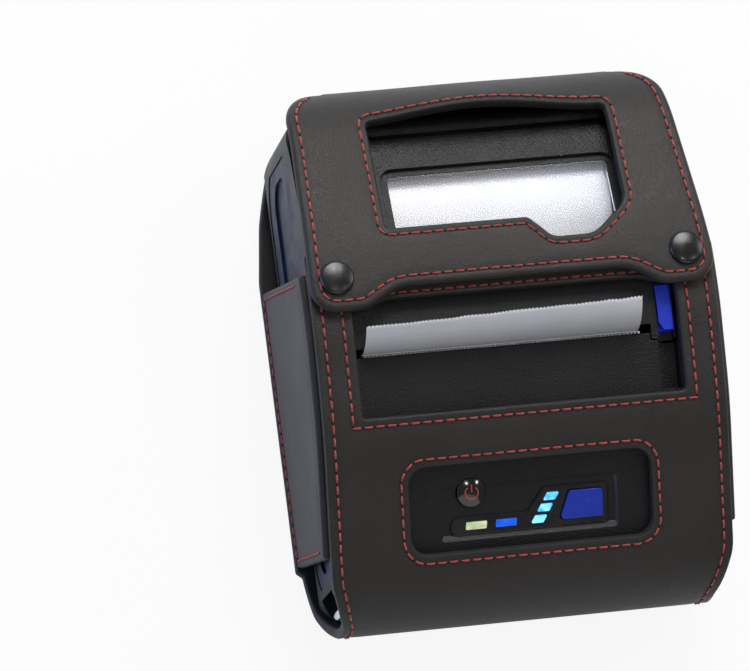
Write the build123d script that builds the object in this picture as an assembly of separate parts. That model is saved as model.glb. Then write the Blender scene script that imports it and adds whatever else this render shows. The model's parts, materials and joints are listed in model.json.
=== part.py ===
from build123d import *
import os
from math import atan2, cos, degrees, dist, hypot, pi, radians, sin, sqrt, tan

# Portable thermal printer in its sewn leather case, lying on its back.
# X runs across the paper, +Y towards the paper roll and the lid's hinge, and +Z up
# through the operation panel. Everything is drawn with the machine's back at Z = 0 and
# lifted at the end by the thickness of the leather under it.

# Machine, overall; its width is the paper's width and the room beside it
machine_side_room = 12.0
machine_length = 106.0
near_face_height = 25.5
knee_y = -18.0
knee_height = 40.5
crown_near_y = 2.0
crown_far_y = 15.5
crown_height = 44.0
far_face_height = 34.0
near_back_radius = 15.5
near_front_radius = 14.0
knee_radius = 55.0
crown_near_radius = 40.0
crown_far_radius = 68.0
far_front_radius = 17.0
far_back_radius = 17.5
plan_corner_radius = 8.0
back_edge_radius = 5.0
shell_wall = 2.2
wall_overlap = 0.3
side_wall = 3.5
parting_height = 18.0
part_gap = 0.4
slide_gap = 0.15
seat_gap = 0.05
least_radius = 0.4
least_plan_radius = 1.0
fit_share = 0.999

# Paper, roll and the trough that holds it
paper_width = 58.0
paper_off_centre = 3.5
paper_thickness = 0.12
roll_head_room = 0.9
roll_y = 27.5
core_radius = 6.0
core_wall = 1.0
trough_wall = 1.1
trough_gap = 0.6
trough_side_gap = 0.4
trough_rim = 6.0
tongue_rise_radius = 14.5
tongue_sweep = 40.0
web_top_sink = 0.6

# Lid
lid_left_room = 1.2
lid_right_room = 3.5
lid_near_y = -1.4
lid_far_y = 44.0
lid_sink = 0.6
lid_skin = 2.2
lip_rise = 6.0
lip_thickness = 1.4
web_lap = 1.5
web_half_height = 1.2
web_sink = 0.9
cheek_sink = 0.2
lid_hinge_y = 46.8
barrel_radius = 2.7
hinge_pin_radius = 1.2
hinge_pin_left = 2.4
hinge_pin_right = 3.0
ear_thickness = 3.0
ear_reach = 3.0
ear_room = 1.0
ear_drop = 4.0
running_gap = 0.05
cheek_left_thickness = 1.0
cheek_right_thickness = 2.0
cheek_radius = 5.2
window_left_room = 12.2
window_right_room = 3.8
window_near_y = 13.5
window_far_y = 35.6
window_frame = 1.6
window_sink = 0.8
window_corner = 1.2
pane_flange = 1.0
pane_flange_lap = 1.4
wing_width = 4.6
wing_root = 0.5
wing_floor = 0.8
wing_near_y = -4.6

# Platen, drive and print head
platen_y = 2.0
platen_drop = 10.8
platen_radius = 4.5
platen_shaft_radius = 2.0
shaft_end_room = 0.3
platen_bush_radius = 3.4
gear_module = 0.5
platen_teeth = 22
idler_teeth = 30
pinion_teeth = 12
gear_width = 2.2
gear_room = 1.3
tooth_backlash = 0.14
# A tooth's depth in modules, and its width at root and tip as a share of that at the pitch line
tooth_root = 1.2
tooth_tip = 0.85
tooth_root_share = 0.85
tooth_tip_share = 0.26
idler_pin_radius = 1.5
idler_pin_reach = 0.5
pinion_bearing = 192.0
motor_radius = 8.0
motor_length = 16.0
motor_shaft_radius = 1.0
shaft_end_gap = 0.5
frame_sheet = 0.8
frame_left_room = 0.3
frame_right_room = 0.3
frame_back_y = -10.0
frame_foot_height = 11.0
frame_left_foot_height = 21.0
frame_foot_width = 4.0
frame_foot_length = 5.5
frame_foot_step = 0.5
frame_web_low = 29.5
frame_top = 36.0
frame_far_room = 6.0
frame_motor_room = 5.0
frame_notch_near = 2.5
frame_notch_far = 4.2
frame_notch_low = 2.5
motor_ear_reach = 2.5
motor_ear_width = 6.0
motor_nose_radius = 2.9
motor_nose_length = 0.7
motor_bore_depth = 6.0
head_gap = 0.1
head_board = 0.9
head_height = 11.0
sink_depth = 3.0
sink_back = 1.2
sink_drop = 0.8
rib_half = 1.0
rib_count = 7
rib_margin = 5.0
rib_low = 4.0
head_side_room = 0.5
spring_radius = 1.8
spring_wire = 0.4
spring_turns = 2
spring_count = 3
tear_bar_thickness = 0.5
tear_bar_reach = 0.6
tear_bar_depth = 3.2
tear_bar_sink = 0.1
slot_gap = 0.2
tear_tooth_pitch = 0.8
tear_tooth_height = 0.7

# Release lever
lever_room = 1.2
lever_width = 3.0
lever_near_y = -3.0
lever_far_y = 6.3
lever_depth = 2.4
lever_travel = 2.5
lever_rise = 0.5
lever_facet_width = 1.6
lever_facet_length = 3.4
lever_facet_depth = 1.2
track_end_y = -15.0
track_depth = 3.4
track_side_room = 0.6
track_wall = 1.4

# Operation panel, in its own plane: U across and V up the slope from its centre
panel_y = -35.5
tray_width = 37.6
tray_height = 11.6
tray_depth = 0.5
tray_corner = 1.2
bezel_sink = 0.8
bezel_thickness = 1.0
power_u = -12.0
power_v = 4.2
power_radius = 3.0
power_rise = 1.0
feed_u = 11.0
feed_v = -0.2
feed_width = 9.2
feed_height = 5.9
feed_slant = 2.2
feed_rise = 0.9
feed_corner = 0.7
bezel_low_margin = 1.0
bezel_step_margin = 0.9
bezel_high_margin = 1.0
bezel_left_margin = 3.0
bezel_right_margin = 1.2
bezel_rise_margin = 3.4
bezel_rise_run = 3.6
bezel_radii = [1.4, 1.0, 1.0, 0.8, 1.0, 1.4]
pipe_rise = 0.35
pipe_corner = 0.25
pipe_slant = 0.2
power_dome_radius = 9.0
key_flange_gap = 0.1
key_flange_reach = 0.7
key_post_radius = 1.2
button_travel = 0.5
button_flange = 0.8
light_power_u = -11.2
light_error_u = -4.9
light_v = -2.8
light_width = 4.6
light_height = 1.6
light_slant = 1.0
battery_light_u = 4.8
battery_light_v = 1.9
battery_light_pitch = 2.3
battery_light_shift = -1.35
battery_light_width = 3.6
panel_board_depth = 6.2
panel_board_width = 40.0
panel_board_length = 15.0
panel_board_v = 0.4
board_edge = 1.0
panel_post_radius = 1.5
panel_post_places = [(-17.5, -4.6), (-17.5, 6.2), (18.0, -5.2), (18.0, 6.2)]
board_thickness = 1.2
switch_width = 4.0
switch_height = 1.2

# Boards, battery and fasteners
board_stand = 0.7
board_side_room = 7.0
board_near_step = 4.0
board_corner = 3.0
board_post = 4.0
# Each part on the board: from its left edge, from its near edge, width, length, height
board_part_sizes = [
    (12.5, 4.0, 10.0, 10.0, 1.4),
    (30.5, 6.0, 7.0, 7.0, 1.2),
    (42.5, 20.5, 16.0, 3.5, 3.0),
    (2.5, 10.0, 5.0, 10.0, 4.0),
    (44.5, 1.0, 6.0, 6.0, 1.0),
]
battery_side_room = 10.5
battery_near_y = -48.0
battery_far_y = -19.0
battery_height = 14.5
bay_wall = 1.4
grip_half = 8.0
grip_near = 17.0
grip_width = 1.2
grip_pitch = 2.0
grip_depth = 0.8
boss_radius = 2.6
screw_radius = 1.0
screw_head_radius = 1.9
screw_head_height = 1.4
screw_drive_radius = 0.8
screw_near_y = -14.5
screw_near_side = 6.5
screw_far_y = 48.6
screw_far_side = 9.5
screw_far_step = 4.0
screw_grip = 3.0
screw_seat_near = 3.2
screw_seat_far = 9.0

# Side trims and strap loops
trim_inset = 6.0
trim_thickness = 1.2
trim_sink = 0.2
trim_end_room = 0.6
trim_rib_inset = 11.0
trim_groove_width = 2.4
trim_groove_depth = 0.6
trim_groove_end_y = -12.0
trim_slot_length = 11.0
trim_slot_width = 1.2
trim_slot_y = 25.5
trim_slot_z = 18.5
trim_recess_inset = 5.6
trim_recess_near_y = 8.0
loop_wire = 1.0
loop_height = 8.0
loop_low = 10.0
loop_reach = 5.0
loop_pocket_radius = 4.6
loop_sink = 0.6
loop_room = 1.2
loop_wall = 1.4
loop_leg_room = 0.2
loop_leg_radius = 3.0
loop_leg_share = 0.6

# Leather case
leather = 2.2
slip = 0.5
lap_gap = 0.2
case_edge = 0.3
front_step = 1.5
wrap_corner_radius = 7.0
wrap_shoulder_reach = 1.0
wrap_shoulder_run = 4.0
wrap_shoulder_corner = 1.0
wrap_shoulder_bend = 6.0
bar_far_y = 18.5
wrap_end_height = 13.0
fold_height = 16.0
fold_gap = 0.3
tail_low = 7.0
bar_left_width = 8.4
bar_right_width = 8.6
mouth_near_y = -15.8
mouth_corner = 0.8
band_near_y = 7.6
band_end_y = 5.9
band_far_y = 15.5
band_bend_x = 26.5
band_side_gap = 0.4
band_corner = 1.0
panel_window_width = 50.8
panel_window_near_y = -43.0
panel_window_far_y = -26.3
panel_window_corner = 3.4
flap_edge_y = 9.6
flap_lobe_y = 5.6
flap_lobe_half = 5.6
flap_shoulder_radius = 11.0
flap_shoulder_reach = 2.4
flap_bend_run = 7.0
flap_bend_radius = 9.0
flap_lobe_in_radius = 6.0
flap_lobe_radius = 5.4
strap_step = 0.2
flap_window_left_room = 17.6
flap_window_right_room = 16.7
flap_window_near_y = 22.4
flap_window_far_y = 46.6
notch_y = 17.6
notch_left = 5.0
notch_centre = 14.3
notch_run = 4.6
notch_half = 4.0
notch_rise = 6.5
flap_window_radii = [0.8, 2.0, 3.0, 6.0, 5.0, 1.0, 1.0]
gusset_near_front_y = -42.0
gusset_near_back_y = -35.5
gusset_far_front_y = 12.5
gusset_far_back_y = 22.5
snap_inset = 5.7
snap_y = 12.6
snap_cap_radius = 3.6
snap_cap_height = 2.2
snap_dome_ease = 0.9
snap_socket_radius = 3.0
snap_socket_bore = 2.6
snap_stud_radius = 1.4
snap_stud_height = 0.9
snap_post_radius = 2.2
snap_post_height = 0.35

# Values worked out from those above
lift = leather + slip
machine_width = paper_width + 2 * machine_side_room
half_width = machine_width / 2
near_y = -machine_length / 2
far_y = machine_length / 2
paper_x = -paper_off_centre
paper_left = paper_x - paper_width / 2
paper_right = paper_x + paper_width / 2
lid_left = paper_left - lid_left_room
lid_right = paper_right + lid_right_room
window_left = lid_left + window_left_room
window_right = lid_right - window_right_room
wing_right = lid_right + wing_width
lever_left = lid_right + lever_room
lever_right = lever_left + lever_width
platen_height = crown_height - platen_drop
gear_near_x = lid_right + gear_room
frame_left_x = lid_left - frame_left_room - frame_sheet
frame_right_x = lid_right + frame_right_room
battery_half_width = half_width - battery_side_room
screw_near_x = half_width - screw_near_side
screw_far_x = half_width - screw_far_side
back_half = half_width + slip + leather + case_edge
case_half = back_half - front_step
mouth_left = bar_left_width - case_half
mouth_right = case_half - bar_right_width
strap_half_width = case_half - flap_shoulder_radius - strap_step
flap_window_left = flap_window_left_room - case_half
flap_window_right = case_half - flap_window_right_room
snap_x = case_half - snap_inset
over = 1.0
tall = 2 * crown_height
outline_corners = [
    (near_y, 0.0),
    (near_y, near_face_height),
    (knee_y, knee_height),
    (crown_near_y, crown_height),
    (crown_far_y, crown_height),
    (far_y, far_face_height),
    (far_y, 0.0),
]
outline_radii = [
    near_back_radius,
    near_front_radius,
    knee_radius,
    crown_near_radius,
    crown_far_radius,
    far_front_radius,
    far_back_radius,
]
panel_slope = degrees(atan2(knee_height - near_face_height, knee_y - near_y))
platen_gear_radius = gear_module * platen_teeth / 2
idler_radius = gear_module * idler_teeth / 2
pinion_radius = gear_module * pinion_teeth / 2
idler_height = platen_height - platen_gear_radius - idler_radius
paper_face_y = platen_y - platen_radius - head_gap - paper_thickness
slot_near_y = paper_face_y - slot_gap


def unit(a, b):
    length = hypot(b[0] - a[0], b[1] - a[1])
    return (b[0] - a[0]) / length, (b[1] - a[1]) / length


def acos_of(value):
    return atan2(sqrt(max(0.0, 1 - value**2)), value)


def inset_corners(inset):
    """Corners of the side outline with every side moved inwards by inset."""
    moved = []
    count = len(outline_corners)
    for i in range(count):
        before = unit(outline_corners[i - 1], outline_corners[i])
        after = unit(outline_corners[i], outline_corners[(i + 1) % count])
        normal_a = (before[1], -before[0])
        normal_b = (after[1], -after[0])
        share = 1 + normal_a[0] * normal_b[0] + normal_a[1] * normal_b[1]
        y = outline_corners[i][0] + inset * (normal_a[0] + normal_b[0]) / share
        z = outline_corners[i][1] + inset * (normal_a[1] + normal_b[1]) / share
        moved.append((y, z))
    return moved


def corner_turn(corners, i):
    """How far the outline turns at corner i, in radians."""
    before = unit(corners[i - 1], corners[i])
    after = unit(corners[i], corners[(i + 1) % len(corners)])
    return acos_of(before[0] * after[0] + before[1] * after[1])


def outline_at(inset):
    """Corners and corner radii of the side outline, moved inwards by inset."""
    corners = inset_corners(inset)
    count = len(corners)
    radii = [max(radius - inset, least_radius) for radius in outline_radii]
    reach = [radii[i] * tan(corner_turn(corners, i) / 2) for i in range(count)]
    fitted = []
    for i in range(count):
        ahead, behind = (i + 1) % count, i - 1
        room_ahead = dist(corners[i], corners[ahead]) / (reach[i] + reach[ahead])
        room_behind = dist(corners[i], corners[behind]) / (reach[i] + reach[behind])
        fitted.append(radii[i] * min(1.0, fit_share * room_ahead, fit_share * room_behind))
    return corners, fitted


def side_outline(inset=0.0):
    """The machine's side view as a face in the YZ plane."""
    corners, radii = outline_at(inset)
    edge = FilletPolyline(*corners, radius=radii, close=True)
    return make_face(Plane.YZ * edge)


def surface_height(y, inset=0.0):
    """Height of the front surface above the back, at Y and at inset below the skin."""
    corners, radii = outline_at(inset)
    last = None
    for i in range(1, 6):
        before = unit(corners[i - 1], corners[i])
        after = unit(corners[i], corners[i + 1])
        radius = radii[i]
        reach = radius * tan(corner_turn(corners, i) / 2)
        start = (corners[i][0] - before[0] * reach, corners[i][1] - before[1] * reach)
        end = (corners[i][0] + after[0] * reach, corners[i][1] + after[1] * reach)
        centre = (start[0] + before[1] * radius, start[1] - before[0] * radius)
        if last and y < start[0]:
            share = (y - last[0]) / (start[0] - last[0])
            return last[1] + share * (start[1] - last[1])
        if y <= end[0]:
            return centre[1] + sqrt(radius**2 - (y - centre[0]) ** 2)
        last = end
    return last[1]


def across(face, x0, x1):
    """A face of the YZ plane, extruded from X = x0 to X = x1."""
    return Pos(x0, 0, 0) * extrude(face, x1 - x0, dir=(1, 0, 0))


def block(x0, x1, y0, y1, z0, z1):
    centre = Pos((x0 + x1) / 2, (y0 + y1) / 2, (z0 + z1) / 2)
    return centre * Box(x1 - x0, y1 - y0, z1 - z0)


def upright(x0, x1, y0, y1, radius, z0=-over * 10, z1=tall):
    """A prism along Z over a rectangle with rounded corners."""
    outline = Pos((x0 + x1) / 2, (y0 + y1) / 2, z0) * RectangleRounded(x1 - x0, y1 - y0, radius)
    return extrude(outline, z1 - z0, dir=(0, 0, 1))


def x_cylinder(radius, x0, x1, y, z):
    """A cylinder along X."""
    return Pos((x0 + x1) / 2, y, z) * Rot(0, 90, 0) * Cylinder(radius, x1 - x0)


def skin(outer, inner, x0, x1):
    """The layer between two insets of the side outline."""
    return across(side_outline(outer), x0, x1) - across(side_outline(inner), x0, x1)


def machine_form(inset=0.0, side=0.0):
    """The whole machine's rounded body, made smaller by inset and at its sides by side."""
    half = half_width - side
    corner = max(plan_corner_radius - inset, least_plan_radius)
    body = across(side_outline(inset), -half, half)
    plan = upright(-half, half, near_y + inset, far_y - inset, corner)
    edge = max(back_edge_radius - inset, least_radius)
    section = Plane.XZ * Pos(0, inset + tall / 2) * RectangleRounded(2 * half, tall, edge)
    sides = Pos(0, machine_length, 0) * extrude(section, 2 * machine_length, dir=(0, -1, 0))
    return body & plan & sides


roll_floor = shell_wall + slide_gap + trough_wall + trough_gap
roll_ceiling = surface_height(roll_y, lid_sink + lid_skin + pane_flange) - roll_head_room
roll_radius = (roll_ceiling - roll_floor) / 2
roll_height = roll_floor + roll_radius
trough_inner = roll_radius + trough_gap
panel_origin = (0.0, panel_y, surface_height(panel_y))
panel_plane = Plane(
    origin=panel_origin,
    x_dir=(1, 0, 0),
    z_dir=(0, -sin(radians(panel_slope)), cos(radians(panel_slope))),
)


def on_panel(shape, u=0.0, v=0.0, depth=0.0):
    """A shape drawn in the panel's plane, moved to U, V and down by depth."""
    return panel_plane * Pos(u, v, -depth) * shape


def slanted(width, height, slant, rounding):
    """A parallelogram with rounded corners that leans towards +U."""
    bottom = [(-width / 2, -height / 2), (width / 2 - slant, -height / 2)]
    top = [(width / 2, height / 2), (-width / 2 + slant, height / 2)]
    return make_face(FilletPolyline(*bottom, *top, radius=rounding, close=True))


def feed_outline(grow=0.0):
    """The feed button: its left side slopes, its right side is square."""
    left, right = -feed_width / 2 - grow, feed_width / 2 + grow
    low, high = -feed_height / 2 - grow, feed_height / 2 + grow
    points = [(left, low), (right, low), (right, high), (left + feed_slant, high)]
    return make_face(FilletPolyline(*points, radius=feed_corner, close=True))


def bezel_outline(grow=0.0):
    """The glossy inlay: a low run under the two lamps, a tall one round the button."""
    low = light_v - light_height / 2 - bezel_low_margin - grow
    step = light_v + light_height / 2 + bezel_step_margin + grow
    high = feed_v + feed_height / 2 + bezel_high_margin + grow
    left = light_power_u - light_width / 2 - bezel_left_margin - grow
    right = feed_u + feed_width / 2 + bezel_right_margin + grow
    rise_start = battery_light_u - battery_light_width / 2 - bezel_rise_margin - grow
    rise_end = rise_start + bezel_rise_run
    points = [
        (left, low),
        (right, low),
        (right, high),
        (rise_end, high),
        (rise_start, step),
        (left, step),
    ]
    return make_face(FilletPolyline(*points, radius=bezel_radii, close=True))


def lamp_places():
    """Each lamp as (name, U, V, outline)."""
    lamp = slanted(light_width, light_height, pipe_slant, pipe_corner)
    battery = slanted(battery_light_width, light_height, light_slant, pipe_corner)
    places = [
        ("power_light", light_power_u, light_v, lamp),
        ("error_light", light_error_u, light_v, lamp),
    ]
    for i in range(3):
        u = battery_light_u + i * battery_light_shift
        v = battery_light_v - i * battery_light_pitch
        places.append(("battery_lights", u, v, battery))
    return places


def panel_cut(outline, u, v, top, bottom):
    """A prism through the panel from top to bottom, both measured down from the skin."""
    return on_panel(extrude(outline, bottom - top, dir=(0, 0, 1)), u, v, bottom)


def lever_slot(grow, near_stretch=0.0):
    """The space over the lever, from above the skin down to its own depth."""
    return block(
        lever_left - grow,
        lever_right + grow,
        lever_near_y - grow - near_stretch,
        lever_far_y + grow,
        0,
        tall,
    )


def hinge_height():
    """The lid's pin: the barrel's top is level with the lid's skin there."""
    return surface_height(lid_hinge_y, lid_sink) - barrel_radius


def trim_outline(grow=0.0):
    """Side trim in the YZ plane: the side outline, set in and cut off at the rounded ends."""
    flat = machine_length / 2 - plan_corner_radius - trim_end_room
    window = Plane.YZ * Pos(0, crown_height / 2) * Rectangle(2 * flat + 2 * grow, 2 * tall)
    return side_outline(trim_inset - grow) & window


def trim_pocket(sign):
    depth = trim_thickness + trim_sink
    outer = sign * half_width
    inner = sign * (half_width - depth)
    low, high = sorted((inner, outer + sign * over))
    return across(trim_outline(slide_gap), low, high)


def side_trim(sign):
    """Smooth trim let into the side, with a groove near the panel and an arched recess."""
    outer = sign * (half_width - trim_sink)
    inner = sign * (half_width - trim_sink - trim_thickness)
    low, high = sorted((inner, outer))
    plate = across(trim_outline(), low, high)
    floor_x = outer - sign * trim_groove_depth
    cut_low, cut_high = sorted((floor_x, outer + sign * over))
    groove = skin(trim_rib_inset, trim_rib_inset + trim_groove_width, cut_low, cut_high)
    groove = groove & block(cut_low, cut_high, near_y, trim_groove_end_y, 0, tall)
    recess = across(side_outline(trim_inset + trim_recess_inset), cut_low, cut_high)
    recess = recess & block(cut_low, cut_high, trim_recess_near_y, far_y, 0, tall)
    slot = Rot(0, 0, panel_slope) * SlotOverall(trim_slot_length, trim_slot_width)
    slot = Plane.YZ * Pos(near_y + trim_slot_y, trim_slot_z) * slot
    return plate - groove - recess - across(slot, cut_low, cut_high)


def loop_centre(sign):
    corner_x = half_width - plan_corner_radius
    corner_y = near_y + plan_corner_radius
    reach = (plan_corner_radius - loop_wire - loop_sink) * sqrt(0.5)
    return sign * (corner_x + reach), corner_y - reach


def loop_pocket(sign):
    """Hollow in the corner round the strap loop."""
    x, y = loop_centre(sign)
    low = loop_low - loop_wire - loop_room
    high = loop_low + loop_height + loop_wire + loop_room
    return Pos(x, y, (low + high) / 2) * Cylinder(loop_pocket_radius, high - low)


def strap_loop(sign):
    """Bent wire loop across the corner, its two legs running back into the shell."""
    x, y = loop_centre(sign)
    step = loop_reach * sqrt(0.5)
    back = (x - sign * step, y + step)
    points = [
        (back[0], back[1], loop_low),
        (x, y, loop_low),
        (x, y, loop_low + loop_height),
        (back[0], back[1], loop_low + loop_height),
    ]
    path = FilletPolyline(*points, radius=2 * loop_wire)
    start = Plane(origin=points[0], z_dir=(sign * step, -step, 0))
    return sweep(start * Circle(loop_wire), path=path)


def loop_block(sign):
    """Solid corner that carries the loop's legs."""
    x, y = loop_centre(sign)
    step = (loop_reach + loop_leg_room) * sqrt(0.5) * loop_leg_share
    low = loop_low - loop_wire - 2 * loop_room
    high = loop_low + loop_height + loop_wire + 2 * loop_room
    middle = (low + high) / 2
    post = Pos(x, y, middle) * Cylinder(loop_pocket_radius + loop_wall, high - low)
    reach = Pos(x - sign * step, y + step, middle) * Cylinder(loop_leg_radius, high - low)
    return (post + reach) & machine_form(loop_leg_room, loop_leg_room)


def screw_places():
    near = [(-screw_near_x, screw_near_y), (screw_near_x, screw_near_y)]
    far = [(-screw_far_x, screw_far_y), (screw_far_x - screw_far_step, screw_far_y)]
    return near + far


def screw_base(place):
    """Height of the screw head's seat over the machine's back."""
    return screw_seat_near if place[1] < 0 else screw_seat_far


def screw(place):
    x, y = place
    base = screw_base(place)
    top = parting_height + screw_grip
    head = Pos(x, y, base - screw_head_height / 2) * Cylinder(screw_head_radius, screw_head_height)
    shank = Pos(x, y, (base + top) / 2) * Cylinder(screw_radius, top - base)
    drive = Pos(x, y, base - screw_head_height) * Cylinder(screw_drive_radius, screw_head_height)
    return head + shank - drive


def screw_bore(place):
    x, y = place
    base = screw_base(place)
    head = Pos(x, y, base / 2 - over) * Cylinder(screw_head_radius + slide_gap, base + 2 * over)
    top = parting_height + screw_grip
    shank = Pos(x, y, (base + top) / 2) * Cylinder(screw_radius, top - base)
    return head + shank


def back_shell():
    """Lower half of the machine: its back, with the battery bay and screw bosses."""
    below = block(-half_width, half_width, near_y, far_y, 0, parting_height)
    form = machine_form() & below
    shell = form - machine_form(shell_wall, side_wall)
    grow = bay_wall + part_gap
    bay = block(
        -battery_half_width - grow,
        battery_half_width + grow,
        battery_near_y - grow,
        battery_far_y + grow,
        0,
        battery_height + grow,
    )
    shell += bay & form
    for x, y in screw_places():
        post = Pos(x, y, parting_height / 2) * Cylinder(boss_radius, parting_height)
        shell += post & form
    for sign in (-1, 1):
        shell += loop_block(sign) & below
    shell -= block(
        -battery_half_width - part_gap,
        battery_half_width + part_gap,
        battery_near_y - part_gap,
        battery_far_y + part_gap,
        -over,
        battery_height + part_gap,
    )
    for place in screw_places():
        shell -= screw_bore(place)
    for sign in (-1, 1):
        shell -= loop_pocket(sign)
        shell -= strap_loop(sign)
        shell -= trim_pocket(sign)
    return shell


def hinge_pin():
    left, right = lid_left - hinge_pin_left, lid_right + hinge_pin_right
    return x_cylinder(hinge_pin_radius, left, right, lid_hinge_y, hinge_height())


def gear_sweep():
    """Furthest Y that the platen's gear passes on its way out through the front."""
    arm = dist((platen_y, platen_height), (lid_hinge_y, hinge_height()))
    rise = crown_height - hinge_height()
    return lid_hinge_y - sqrt(arm**2 - rise**2) + platen_gear_radius + gear_module


def lid_opening():
    """What the front shell leaves open for the lid, its wing and its barrel."""
    main = block(
        lid_left - part_gap,
        lid_right + part_gap,
        slot_near_y - tear_bar_thickness,
        lid_hinge_y,
        parting_height + 2,
        tall,
    )
    wing = block(
        lid_right - wing_root - part_gap,
        wing_right + part_gap,
        wing_near_y - part_gap,
        gear_sweep() + part_gap,
        parting_height + 2,
        tall,
    )
    barrel = x_cylinder(
        barrel_radius + 2 * part_gap,
        lid_left - part_gap,
        lid_right + part_gap,
        lid_hinge_y,
        hinge_height(),
    )
    above = block(
        lid_left - part_gap,
        lid_right + part_gap,
        lid_hinge_y - over,
        lid_hinge_y + barrel_radius + 2 * part_gap,
        hinge_height(),
        tall,
    )
    return main + wing + barrel + above


def track():
    """Finger groove under the release lever, and the thicker floor below it."""
    left, right = lever_left - track_side_room, lever_right + track_side_room
    groove = skin(-2, track_depth, left, right)
    groove = groove & block(left, right, track_end_y, wing_near_y, 0, tall)
    wall = track_wall
    floor = skin(wall_overlap, track_depth + wall, left - wall, right + wall)
    floor = floor & block(left - wall, right + wall, track_end_y - wall, wing_near_y - part_gap, 0, tall)
    return groove, floor


def front_shell():
    """Upper half of the machine, with its lid opening, lever groove and panel."""
    above = block(-half_width, half_width, near_y, far_y, parting_height, tall)
    form = machine_form() & above
    shell = form - machine_form(shell_wall, side_wall)
    groove, floor = track()
    shell += floor & form
    pin_z = hinge_height()
    ear_near, ear_far = lid_hinge_y - ear_reach, far_y - ear_room
    ear_end = lid_right + part_gap + ear_thickness
    ear = block(lid_right + part_gap, ear_end, ear_near, ear_far, pin_z - ear_drop, tall)
    shell += ear & machine_form(wall_overlap)
    for x, y in screw_places():
        post = Pos(x, y, parting_height + tall / 2) * Cylinder(boss_radius, tall)
        shell += post & form
    for sign in (-1, 1):
        shell += loop_block(sign) & above
    shell -= lid_opening()
    shell -= groove
    for u, v in panel_post_places:
        shell += panel_cut(Circle(panel_post_radius), u, v, shell_wall - wall_overlap, panel_board_depth)
    tray = RectangleRounded(tray_width, tray_height, tray_corner)
    shell -= panel_cut(tray, 0, 0, -2, tray_depth)
    shell -= panel_cut(bezel_outline(seat_gap), 0, 0, -2, tray_depth + bezel_sink)
    shell -= panel_cut(Circle(power_radius + slide_gap), power_u, power_v, -2, shell_wall + 2)
    shell -= panel_cut(feed_outline(slide_gap), feed_u, feed_v, -2, shell_wall + 2)
    for name, u, v, outline in lamp_places():
        shell -= panel_cut(outline, u, v, -2, shell_wall + 2)
    for place in screw_places():
        shell -= screw_bore(place)
    for sign in (-1, 1):
        shell -= loop_pocket(sign)
        shell -= strap_loop(sign)
        shell -= trim_pocket(sign)
    shell -= hinge_pin()
    return shell


def led_bezel():
    """Glossy inlay that frames the lamps and the feed button."""
    bottom = tray_depth + bezel_sink
    inlay = panel_cut(bezel_outline(), 0, 0, bottom - bezel_thickness, bottom)
    inlay -= panel_cut(feed_outline(slide_gap), feed_u, feed_v, -2, 4)
    for name, u, v, outline in lamp_places():
        inlay -= panel_cut(outline, u, v, -2, 4)
    return inlay


def lamps(wanted):
    """Light pipes from the panel board to just above the inlay."""
    pipes = []
    for name, u, v, outline in lamp_places():
        if name == wanted:
            pipes.append(panel_cut(outline, u, v, tray_depth - pipe_rise, panel_board_depth))
    return pipes


def power_button():
    """Round domed button on a flange under the shell."""
    top = tray_depth - power_rise
    dome = panel_cut(Circle(power_radius), 0, 0, top, shell_wall + 1)
    sphere = on_panel(Sphere(power_dome_radius), 0, 0, top + power_dome_radius)
    cap = dome & sphere
    flange_top = shell_wall + key_flange_gap
    cap += panel_cut(Circle(power_radius + key_flange_reach), 0, 0, flange_top, flange_top + button_flange)
    cap += panel_cut(Circle(key_post_radius), 0, 0, flange_top, switch_top() - button_travel - seat_gap)
    return Pos(*panel_shift(power_u, power_v)) * cap


def feed_button():
    """Feed button with one sloping side, on a flange under the shell."""
    flange_top = shell_wall + key_flange_gap
    key = panel_cut(feed_outline(), 0, 0, tray_depth - feed_rise, flange_top + button_flange)
    key += panel_cut(feed_outline(key_flange_reach), 0, 0, flange_top, flange_top + button_flange)
    key += panel_cut(Circle(key_post_radius), 0, 0, flange_top, switch_top() - button_travel - seat_gap)
    return Pos(*panel_shift(feed_u, feed_v)) * key


def panel_shift(u, v):
    """How far U, V on the panel lie from its centre, along X, Y and Z."""
    slope = radians(panel_slope)
    return u, v * cos(slope), v * sin(slope)


def switch_top():
    return panel_board_depth - switch_height


def panel_board():
    """Small board behind the operation panel."""
    board = RectangleRounded(panel_board_width, panel_board_length, board_edge)
    return panel_cut(board, 0, panel_board_v, panel_board_depth, panel_board_depth + board_thickness)


def panel_switches():
    """The two tact switches under the buttons."""
    base = Rectangle(switch_width, switch_width)
    places = [(power_u, power_v), (feed_u, feed_v)]
    switches = []
    for u, v in places:
        body = panel_cut(base, u, v, switch_top(), panel_board_depth)
        switches.append(body)
    return switches


def window_prism(grow, corner):
    return upright(
        window_left - grow,
        window_right + grow,
        window_near_y - grow,
        window_far_y + grow,
        corner,
    )


def cheek_spans():
    """Where the lid's two cheeks start and end along X."""
    left = (lid_left, lid_left + cheek_left_thickness)
    right = (lid_right - cheek_right_thickness, lid_right)
    return [left, right]


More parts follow.
